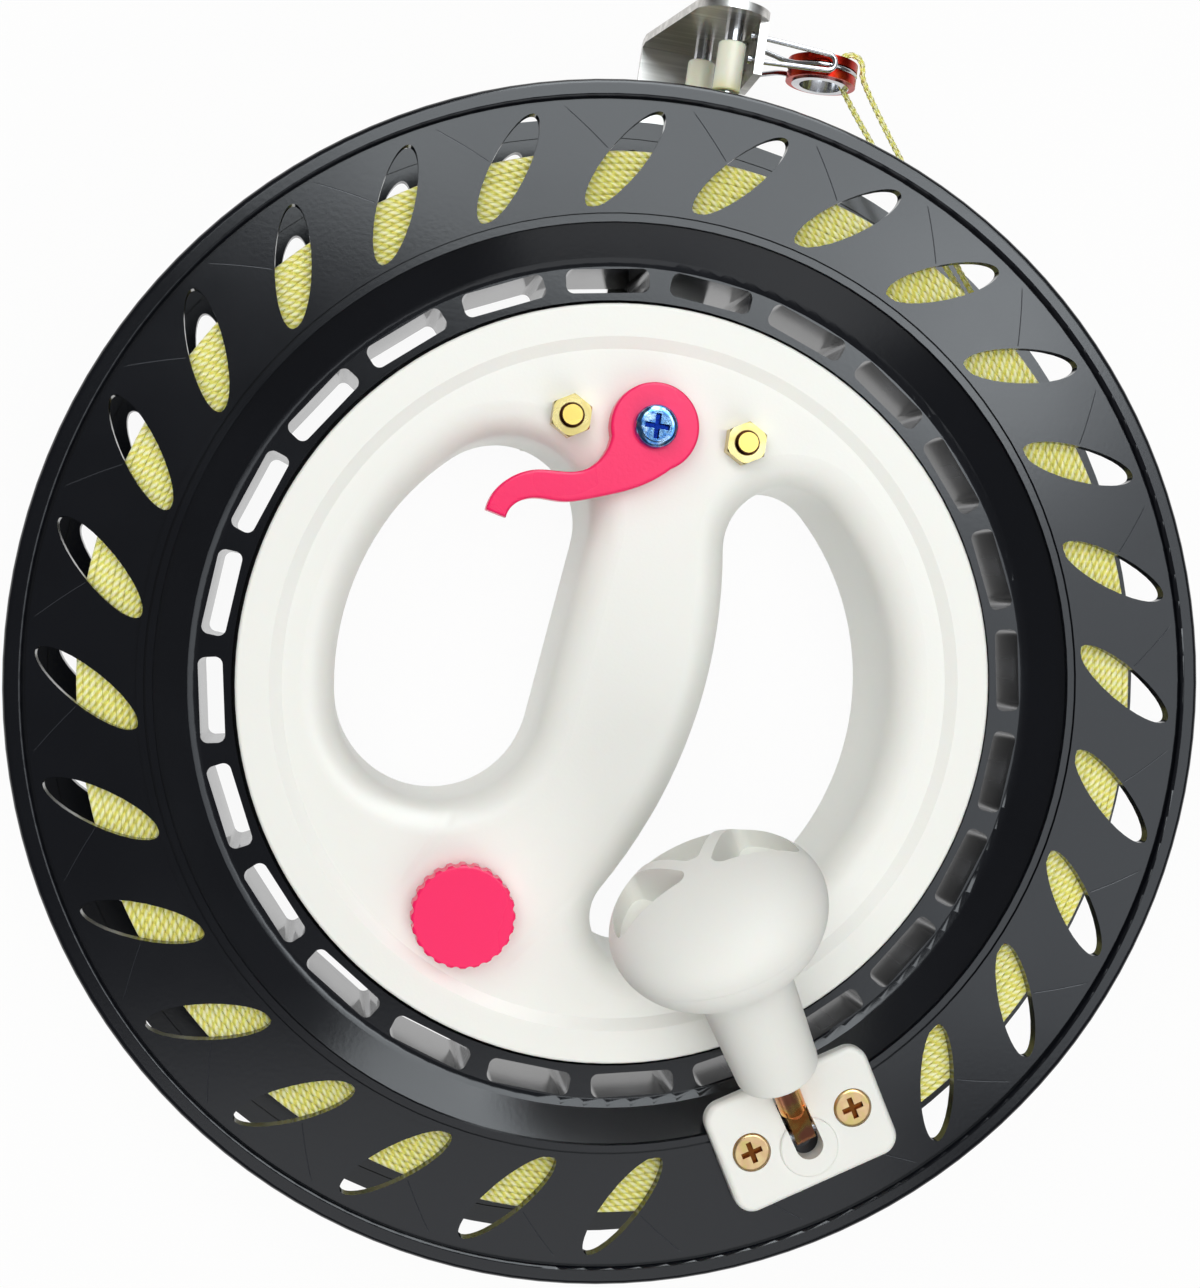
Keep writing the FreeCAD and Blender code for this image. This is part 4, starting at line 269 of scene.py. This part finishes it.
flange = dict(colour=(9, 11, 16), cloudColour=(14, 16, 22), cloudSize=0.012, rough=0.12, roughSpread=0.10,
              grainSize=0.0004, grainHeight=0.02, waveSize=0.05, waveHeight=0.9, bump=(0.0006, 0.5))
# Painted light on the window walls: its grey, the radii where it starts and ends, and the heights where it
# fades out.
windowWallLight = dict(colour=(122, 124, 130), inner=(71.9, 72.1), outer=(76.4, 76.6), top=(30.5, 33.0))
# A flow mark starts and ends at a radius and at degrees past the start of its leaf hole.
flowMark = dict(colour=(44, 46, 52), start=(97.3, 1.45), end=(105.6, 5.9), fadeIn=0.5, fadeOut=2.0,
                width=(0.02, 0.13), height=0.25, leafStart=317.05, leafStep=360 / 28, face=(37.8, 38.2))


def paintFlange(name, marked=False):
    paint = Paint(name)
    cloud = paint.noise(flange["cloudSize"], 3)
    grain = paint.noise(flange["grainSize"], 2) * flange["grainHeight"]
    height = grain + paint.noise(flange["waveSize"], 2) * flange["waveHeight"]
    colour = paint.blend(cloud, shade(*flange["colour"]), shade(*flange["cloudColour"]))
    # Painted light: the walls inside the windows are painted grey for the light reflected in them.
    colour = paint.blend(paintedWindowLight(paint), colour, shade(*windowWallLight["colour"]))
    if marked:
        line = flowMarks(paint)
        height = height - line * flowMark["height"]
        colour = paint.blend(line, colour, shade(*flowMark["colour"]))
    paint.fill(BaseColor=colour, Roughness=flange["rough"] + cloud * flange["roughSpread"],
               Normal=paint.bump(height, *flange["bump"]))
    return paint


def paintedWindowLight(paint):
    # Painted light: the walls inside the core's windows are painted grey for the floor's light that comes
    # through the windows and reflects in them.
    x, y, z = paint.axes()
    radius = (x * x + y * y) ** 0.5 / mm
    low, high = windowWallLight["top"]
    ring = paint.step(radius, *windowWallLight["inner"]) * (1 - paint.step(radius, *windowWallLight["outer"]))
    return ring * (1 - paint.step(z, low * mm, high * mm))


def flowMarks(paint):
    # A fine flow mark runs from each leaf hole towards the rim.
    x, y, z = paint.axes()
    radius = (x * x + y * y) ** 0.5 / mm
    turn = y.math("ARCTAN2", x) * (180 / math.pi)
    place = (turn - flowMark["leafStart"] + 720) % flowMark["leafStep"]
    startRadius, startTurn = flowMark["start"]
    endRadius, endTurn = flowMark["end"]
    slope = (endTurn - startTurn) / (endRadius - startRadius)
    off = abs(place - startTurn - (radius - startRadius) * slope) * (math.pi / 180) * radius
    begun = paint.step(radius, startRadius, startRadius + flowMark["fadeIn"])
    ended = paint.step(radius, endRadius - flowMark["fadeOut"], endRadius)
    low, high = flowMark["face"]
    face = paint.step(z, low * mm, high * mm)
    return (1 - paint.step(off, *flowMark["width"])) * (begun * (1 - ended)) * face


# White hub, knob and crank plate

white = dict(colour=(242, 243, 239), cloudColour=(238, 239, 234), cloudSize=0.03, rough=0.36, shine=0.5,
             roughSpread=0.08, grainSize=0.0003, grainHeight=0.10, dimpleSize=0.006, dimpleHeight=0.25,
             bump=(0.0003, 0.5), knobRough=0.5, knobShine=0.25)
# Each crease on the grip runs from one x, y to another.
crease = dict(ends=((-1.1, -37.1, -15.3, -55.1), (-26.5, -26.1, -35.3, -43.5)), half=1.4, fade=4.0,
              front=(30.0, 32.0), height=0.8)
# The knob's parting line, measured from the crank's pivot along its shaft.
partingLine = dict(pivot=(44.35, -76.82, 40.7), shaft=(-0.4986, 0.7737, 0.3907), along=50.3,
                   width=(0.02, 0.16), height=0.5)


def paintWhite(name, creased=False, parted=False, rough=white["rough"], shine=white["shine"]):
    paint = Paint(name, SubsurfaceWeight=0.08, SubsurfaceScale=0.002, SpecularIORLevel=shine)
    cloud = paint.noise(white["cloudSize"], 2)
    grain = paint.noise(white["grainSize"], 2) * white["grainHeight"]
    height = grain + paint.noise(white["dimpleSize"], 2) * white["dimpleHeight"]
    if creased:
        for ends in crease["ends"]:
            height = height - creaseMark(paint, ends) * crease["height"]
    if parted:
        height = height - knobLine(paint) * partingLine["height"]
    paint.fill(BaseColor=paint.blend(cloud, shade(*white["colour"]), shade(*white["cloudColour"])),
               Roughness=rough + cloud * white["roughSpread"], Normal=paint.bump(height, *white["bump"]))
    return paint


def knobLine(paint):
    # The mould's parting line runs round the knob just under its widest part.
    pivot = [value * mm for value in partingLine["pivot"]]
    away = paint.node("VectorMath", {"operation": "SUBTRACT"}, {0: paint.place(), 1: pivot})
    shaft = partingLine["shaft"]
    along = paint.node("VectorMath", {"operation": "DOT_PRODUCT"}, {0: away, 1: shaft}, "Value")
    near, far = partingLine["width"]
    return 1 - paint.step(abs(along - partingLine["along"] * mm), near * mm, far * mm)


def creaseMark(paint, ends):
    # A soft shallow valley along a straight line on the grip.
    startX, startY, endX, endY = [value * mm for value in ends]
    length = math.hypot(endX - startX, endY - startY)
    alongX = (endX - startX) / length
    alongY = (endY - startY) / length
    x, y, z = paint.axes()
    fromX = x - startX
    fromY = y - startY
    run = fromX * alongX + fromY * alongY
    off = abs(fromX * alongY - fromY * alongX)
    fade = crease["fade"] * mm
    inside = paint.step(run, 0.0, fade) * (1 - paint.step(run, length - fade, length))
    low, high = crease["front"]
    return (1 - paint.step(off, 0.0, crease["half"] * mm)) * inside * paint.step(z, low * mm, high * mm)


# Coloured plastic and rubber

fineGrain = dict(size=0.0005, bump=(0.0001, 0.3))
pink = dict(colour=(255, 36, 106), deep=(252, 30, 100), cloudSize=0.01, rough=0.24, roughSpread=0.08,
            grainSize=0.0004, shine=0.35)
plain = dict(cloudSize=0.006, roughSpread=0.1, rubberGrain=0.0008)
roller = dict(front=(240, 240, 222), rear=(232, 224, 160), fade=(110.0, 115.5), cloudSize=0.002, rough=0.32)


def paintPink():
    paint = Paint("pinkPlastic", SubsurfaceWeight=0.05, SubsurfaceScale=0.001, SpecularIORLevel=pink["shine"])
    cloud = paint.noise(pink["cloudSize"], 2)
    paint.fill(BaseColor=paint.blend(cloud, shade(*pink["colour"]), shade(*pink["deep"])),
               Roughness=pink["rough"] + cloud * pink["roughSpread"],
               Normal=paint.bump(paint.noise(pink["grainSize"], 2), *fineGrain["bump"]))
    return paint


def paintPlain(name, colour, cloudColour, rough, grain=fineGrain["size"]):
    paint = Paint(name)
    cloud = paint.noise(plain["cloudSize"], 3)
    paint.fill(BaseColor=paint.blend(cloud, shade(*colour), shade(*cloudColour)),
               Roughness=rough + cloud * plain["roughSpread"],
               Normal=paint.bump(paint.noise(grain, 2), *fineGrain["bump"]))
    return paint


def paintRollers():
    # The rollers are painted yellower towards their rear ends.
    paint = Paint("creamPlastic", SubsurfaceWeight=0.3, SubsurfaceScale=0.002)
    x, y, z = paint.axes()
    low, high = roller["fade"]
    behind = 1 - paint.step(y, low * mm, high * mm)
    paint.fill(BaseColor=paint.blend(behind, shade(*roller["front"]), shade(*roller["rear"])),
               Roughness=roller["rough"] + paint.noise(roller["cloudSize"]) * plain["roughSpread"],
               Normal=paint.bump(paint.noise(fineGrain["size"], 2), *fineGrain["bump"]))
    return paint


# Metals: colours that the finish wanders through, roughness, blotch size, then stretch and depth

metals = {
    "goldZinc": (((222, 206, 150), (208, 188, 120), (230, 218, 162)), 0.22, 0.0050),
    "pinkZinc": (((242, 214, 158), (236, 196, 150), (226, 204, 130)), 0.26, 0.0015),
    "shaftZinc": (((246, 196, 110), (230, 140, 70), (214, 176, 104), (200, 130, 104)), 0.20, 0.0030),
    "blueZinc": (((150, 195, 235), (70, 130, 205), (185, 215, 245)), 0.12, 0.0012),
    "zincSteel": (((180, 184, 190), (160, 166, 176)), 0.28, 0.0020),
    "bearingSteel": (((170, 172, 176), (150, 152, 158)), 0.22, 0.0040),
    "springSteel": (((120, 122, 126), (96, 98, 104)), 0.30, 0.0020),
    "polishedSteel": (((205, 206, 208), (185, 186, 190)), 0.10, 0.0030),
    "redAnodised": (((186, 44, 26), (160, 28, 18), (206, 66, 30)), 0.22, 0.0020),
    "stainless": (((206, 204, 200), (188, 186, 182), (220, 218, 214)), 0.26, 0.0012, (0.06, 1, 1), 0.00002)}
metalPieces = {
    "stainless": ["guide_bracket"],
    "shaftZinc": ["crank_shaft"],
    "zincSteel": ["hub_shell_screws", "spool_screws", "lever_nut", "brake_cam_screw", "brake_washer",
                  "crank_pin"],
    "bearingSteel": ["inner_race", "outer_race", "bearing_balls"],
    "springSteel": ["bearing_clip", "knob_snap_ring"],
    "polishedSteel": ["roller_pins", "snap_loop", "ring_wire", "ring_eyelet"],
    "redAnodised": ["guide_ring"]}
metalWander = dict(edges=(0.3, 0.7), roughSpread=0.12, bump=0.4)

# Screw heads: painted shade darkens the cross recess near each centre, below the head's top.
recessShade = dict(radius=(2.2, 2.5), below=(0.30, 0.05))
plateScrew = dict(centres=((52.83, -71.11), (35.17, -81.31)), top=42.3, dark=(120, 70, 30))
leverScrew = dict(centres=((-1.0, 47.6),), top=40.3, dark=(20, 50, 150))
# The two nuts stand at x either side of the middle.
# The thread colour is painted shade in the gap between each nut and its bolt end.
bolts = dict(x=16.4, y=47.4, end=(234, 204, 112), thread=(70, 40, 20), endRadius=(1.8, 1.9),
             threadRadius=(2.25, 2.45))


def paintMetal(name, stops, rough, blotch, stretch=(1, 1, 1), depth=0.00003):
    paint = Paint(name, Metallic=1.0)
    cloud = paint.noise(blotch, 3, stretch)
    ramp = [(index / (len(stops) - 1), shade(*stop)) for index, stop in enumerate(stops)]
    colour = paint.node("ValToRGB", {"stops": ramp}, {0: paint.step(cloud, *metalWander["edges"])})
    paint.fill(BaseColor=colour, Roughness=rough + cloud * metalWander["roughSpread"],
               Normal=paint.bump(paint.noise(blotch / 4, 3, stretch), depth, metalWander["bump"]))
    return paint


def paintScrew(name, finish, screw):
    paint = paintMetal(name, *finish)
    x, y, z = paint.axes()
    low, high = [(screw["top"] - below) * mm for below in recessShade["below"]]
    near, far = [radius * mm for radius in recessShade["radius"]]
    inside = 0.0
    for centreX, centreY in screw["centres"]:
        offX = x - centreX * mm
        offY = y - centreY * mm
        inside = inside + (1 - paint.step((offX * offX + offY * offY) ** 0.5, near, far))
    # Painted shade in each cross recess, below the head's top.
    sunk = (1 - paint.step(z, low, high)) * inside
    paint.fill(BaseColor=paint.blend(sunk, paint.colour(), shade(*screw["dark"])))
    return paint


def paintNuts():
    # Painted shade: the thread between each gold nut and its yellower bolt end is painted dark.
    paint = paintMetal("nutZinc", *metals["goldZinc"])
    x, y, z = paint.axes()
    offX = abs(x) - bolts["x"] * mm
    offY = y - bolts["y"] * mm
    away = (offX * offX + offY * offY) ** 0.5 / mm
    past = paint.step(away, *bolts["endRadius"])
    thread = past * (1 - paint.step(away, *bolts["threadRadius"]))
    colour = paint.blend(1 - past, paint.colour(), shade(*bolts["end"]))
    paint.fill(BaseColor=paint.blend(thread, colour, shade(*bolts["thread"])))
    return paint


# Wound line: rows of twisted yarn laid side by side, in millimetres

yarn = dict(diameter=1.2, spacing=1.14, pitch=3.4, segments=420, sides=8, outer=97.8, low=7.4, high=35.7,
            # The two colours that follow: the yarn on the strands' crowns, then the painted shade in the
            # grooves between them.
            inner=82.6, drum=80.0, light=(255, 254, 200), dark=(244, 238, 112),
            # How far a row sinks and sways, with the noise's scale round the spool and from row to row.
            sink=0.22, sinkMiddle=0.10, sinkNoise=(3, 0.6), sway=0.08, swayNoise=(9, 1.7, 40),
            coreSegments=180, coreStep=1.5, coreDrop=6,
            coreSpots=((0, 0), (0.01, 0), (0.01, 0.01), (0, 0.01)))
yarnFinish = dict(fibreSize=0.0005, fibreHeight=0.15, cloudSize=0.006, cloudShare=0.7, edges=(0.1, 0.8),
                  rough=0.55, roughSpread=0.2, bump=(0.0003, 0.8))


def paintYarn(name):
    # Painted shade: the colour darkens in the grooves between the strands that twist round each row, with
    # random cloud mixed in, and is lighter on their crowns.
    paint = Paint(name, SheenWeight=0.25, SheenRoughness=0.5, SubsurfaceWeight=0.1, SubsurfaceScale=0.001)
    along = paint.node("SeparateXYZ", {}, {0: paint.node("TexCoord", out="UV")}, "X")
    phase = along / (yarn["pitch"] * mm) + along.out("Y")
    strand = abs((phase * 2) % 1.0 - 0.5) * 2
    fibre = paint.noise(yarnFinish["fibreSize"], 3)
    cloud = paint.noise(yarnFinish["cloudSize"], 2)
    grooveShadeAndTone = paint.step(strand + (cloud - 0.5) * yarnFinish["cloudShare"], *yarnFinish["edges"])
    height = fibre * yarnFinish["fibreHeight"] - strand ** 2.0
    paint.fill(BaseColor=paint.blend(grooveShadeAndTone, shade(*yarn["light"]), shade(*yarn["dark"])),
               Roughness=yarnFinish["rough"] + fibre * yarnFinish["roughSpread"],
               Normal=paint.bump(height, *yarnFinish["bump"]))
    return paint


def yarnRows():
    # Centre of each row in the section: up the front side, across the outside, down the rear side.
    half = yarn["diameter"] / 2
    edge = yarn["outer"] - half
    width = yarn["high"] - yarn["low"] - 2 * half
    count = int((edge - yarn["inner"]) / yarn["spacing"])
    turns = round(width / yarn["spacing"])
    front = [(edge - index * yarn["spacing"], yarn["high"] - half) for index in range(count, -1, -1)]
    outside = [(edge, yarn["high"] - half - index * width / turns) for index in range(1, turns)]
    rear = [(edge - index * yarn["spacing"], yarn["low"] + half) for index in range(count + 1)]
    return front + outside + rear


def drift(turn, row, around, perRow, start=0):
    # Smooth noise round one row, different in each row.
    return noise.noise((around * math.cos(turn), around * math.sin(turn), row * perRow + start))


def rowPoints(row, radius, height):
    # Rings of points round one row, which sinks and sways; the rows against the front flange don't sway.
    half = yarn["diameter"] / 2
    sway = yarn["sway"] if height < yarn["high"] - half else 0
    points = []
    for step in range(yarn["segments"]):
        turn = fullTurn * step / yarn["segments"]
        sunk = min(0.0, drift(turn, row, *yarn["sinkNoise"]) * yarn["sink"] - yarn["sinkMiddle"])
        lift = drift(turn, row, *yarn["swayNoise"]) * sway
        for side in range(yarn["sides"]):
            angle = fullTurn * side / yarn["sides"]
            out = radius + sunk + half * math.cos(angle)
            points.append((out * math.cos(turn) * mm, out * math.sin(turn) * mm,
                           (height + lift + half * math.sin(angle)) * mm))
    return points


def corePoints():
    # A plain body under the rows: its section from the drum out, along the rows and back.
    half = yarn["diameter"] / 2
    under = yarn["outer"] - 2 * half
    section = [(yarn["drum"], yarn["low"] + half), (under, yarn["low"] + half), (under, yarn["high"] - half),
               (yarn["inner"] + yarn["coreStep"], yarn["high"] - half),
               (yarn["drum"], yarn["high"] - yarn["coreDrop"])]
    points = []
    for step in range(yarn["coreSegments"]):
        turn = fullTurn * step / yarn["coreSegments"]
        points.extend((radius * math.cos(turn) * mm, radius * math.sin(turn) * mm, height * mm)
                      for radius, height in section)
    return points, len(section)


def tubeFaces(first, rings, sides, closed):
    # Four-sided faces between neighbouring rings of points.
    faces = []
    for ring in range(rings if closed else rings - 1):
        here = first + ring * sides
        ahead = first + (ring + 1) % rings * sides
        for side in range(sides):
            beside = (side + 1) % sides
            faces.append((here + side, ahead + side, ahead + beside, here + beside))
    return faces


def tubeSpots(lengths, sides, length):
    # Where those faces lie on the yarn's finish: along it, and once round it.
    spots = []
    for index in range(lengths):
        start = index * length
        for side in range(sides):
            low = side / sides
            high = (side + 1) / sides
            spots.extend([(start, low), (start + length, low), (start + length, high), (start, high)])
    return spots


def addLine(name, verts, faces, spots, paint):
    # A mesh of yarn with its finish laid along it and its faces turned outward.
    item = addMesh(name, verts, faces, paint)
    layer = item.data.uv_layers.new(name="alongLine")
    layer.data.foreach_set("uv", [value for spot in spots for value in spot])
    mesh = bmesh.new()
    mesh.from_mesh(item.data)
    bmesh.ops.recalc_face_normals(mesh, faces=mesh.faces)
    mesh.to_mesh(item.data)
    mesh.free()
    return item


def addWinding(paint):
    verts = []
    faces = []
    spots = []
    for row, (radius, height) in enumerate(yarnRows()):
        faces.extend(tubeFaces(len(verts), yarn["segments"], yarn["sides"], True))
        spots.extend(tubeSpots(yarn["segments"], yarn["sides"], fullTurn * radius * mm / yarn["segments"]))
        verts.extend(rowPoints(row, radius, height))
    core, corners = corePoints()
    faces.extend(tubeFaces(len(verts), yarn["coreSegments"], corners, True))
    spots.extend(yarn["coreSpots"] * (yarn["coreSegments"] * corners))
    verts.extend(core)
    item = addLine("woundLine", verts, faces, spots, paint)
    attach(item, "spool")
    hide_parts("line_winding")


# Line through the ring

guideLine = dict(height=22.5, diameter=1.2, plies=3, plySwell=1.08, pitch=4.2, sides=8, step=0.6, fineness=24,
                 route=((74.9, 64.5), (26.4, 118.0), (26.4, 125.6), (31.4, 125.6), (31.4, 119.0),
                        (78.7, 59.9)))


def smoothLine():
    curve = bpy.data.curves.new("lineRoute", "CURVE")
    curve.dimensions = "3D"
    curve.resolution_u = guideLine["fineness"]
    spline = curve.splines.new("NURBS")
    spline.points.add(len(guideLine["route"]) - 1)
    for point, (x, y) in zip(spline.points, guideLine["route"]):
        point.co = (x * mm, y * mm, guideLine["height"] * mm, 1)
    spline.order_u = 3
    spline.use_endpoint_u = True
    item = bpy.data.objects.new("lineRoute", curve)
    bpy.context.scene.collection.objects.link(item)
    mesh = bpy.data.meshes.new_from_object(item)
    points = [point.co.copy() for point in mesh.vertices]
    bpy.data.objects.remove(item)
    bpy.data.meshes.remove(mesh)
    return evenPoints(points, guideLine["step"] * mm)


def evenPoints(points, step):
    # The same line with its points about one step apart.
    kept = [points[0]]
    spare = 0.0
    for before, after in zip(points, points[1:]):
        run = (after - before).length
        place = step - spare
        while place < run:
            kept.append(before.lerp(after, place / run))
            place += step
        spare = run - (place - step)
    kept.append(points[-1])
    return kept


def plyPoints(points, ply):
    # Rings of points round one strand, which twists round the line's middle.
    radius = guideLine["diameter"] / 4 * guideLine["plySwell"] * mm
    offset = guideLine["diameter"] / 2 * mm - radius
    upward = Vector((0, 0, 1))
    travelled = 0.0
    rings = []
    for index, point in enumerate(points):
        ahead = (points[min(index + 1, len(points) - 1)] - points[max(index - 1, 0)]).normalized()
        sideways = ahead.cross(upward).normalized()
        if index:
            travelled += (point - points[index - 1]).length
        turn = fullTurn * (travelled / (guideLine["pitch"] * mm) + ply / guideLine["plies"])
        centre = point + (sideways * math.cos(turn) + upward * math.sin(turn)) * offset
        for side in range(guideLine["sides"]):
            angle = fullTurn * side / guideLine["sides"]
            rings.append(centre + (sideways * math.cos(angle) + upward * math.sin(angle)) * radius)
    return rings


def addGuideLine(paint):
    points = smoothLine()
    length = sum((after - before).length for before, after in zip(points, points[1:]))
    sides = guideLine["sides"]
    verts = []
    faces = []
    spots = []
    for ply in range(guideLine["plies"]):
        first = len(verts)
        last = first + (len(points) - 1) * sides
        faces.extend(tubeFaces(first, len(points), sides, False))
        spots.extend(tubeSpots(len(points) - 1, sides, guideLine["step"] * mm))
        faces.append(tuple(range(first + sides - 1, first - 1, -1)))
        faces.append(tuple(range(last, last + sides)))
        spots.extend([(0, 0)] * (2 * sides))  # the two end caps
        verts.extend(plyPoints(points, ply))
    item = addLine("lineThroughRing", verts, faces, spots, paint)
    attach(item, "hub")
    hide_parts("guide_line")


# Everything put together

addCamera()
addFloor()
addSky()
addLamps()
print("camera and room")

dress(["front_flange"], paintFlange("frontFlangePlastic", marked=True))
dress(["rear_flange"], paintFlange("rearFlangePlastic"))
dress(["hub_front_shell"], paintWhite("hubFrontPlastic", creased=True))
dress(["hub_rear_shell"], paintWhite("hubRearPlastic"))
dress(["handle_base"], paintWhite("basePlastic"))
dress(["crank_knob"], paintWhite("knobPlastic", parted=True, rough=white["knobRough"],
                                 shine=white["knobShine"]))
dress(["lock_lever", "lever_cam", "brake_knob", "brake_cam"], paintPink())
dress(["lock_pawl", "brake_shoe"], paintPlain("innerPlastic", (232, 232, 228), (220, 220, 214), 0.4))
dress(["guide_roller_rear", "guide_roller_front"], paintRollers())
dress(["ball_cage"], paintPlain("cagePlastic", (196, 186, 150), (186, 176, 140), 0.45))
dress(["brake_pad"], paintPlain("brakeRubber", (38, 38, 40), (30, 30, 32), 0.7, plain["rubberGrain"]))
print("plastic finishes")

for name, pieces in metalPieces.items():
    dress(pieces, paintMetal(name, *metals[name]))
dress(["bracket_bolts", "bracket_nuts"], paintNuts())
dress(["handle_base_screws"], paintScrew("baseScrews", metals["pinkZinc"], plateScrew))
dress(["lever_screw"], paintScrew("leverScrew", metals["blueZinc"], leverScrew))
print("metal finishes")

yarnPaint = paintYarn("yarn")
addWinding(yarnPaint)
addGuideLine(yarnPaint)
print("line")
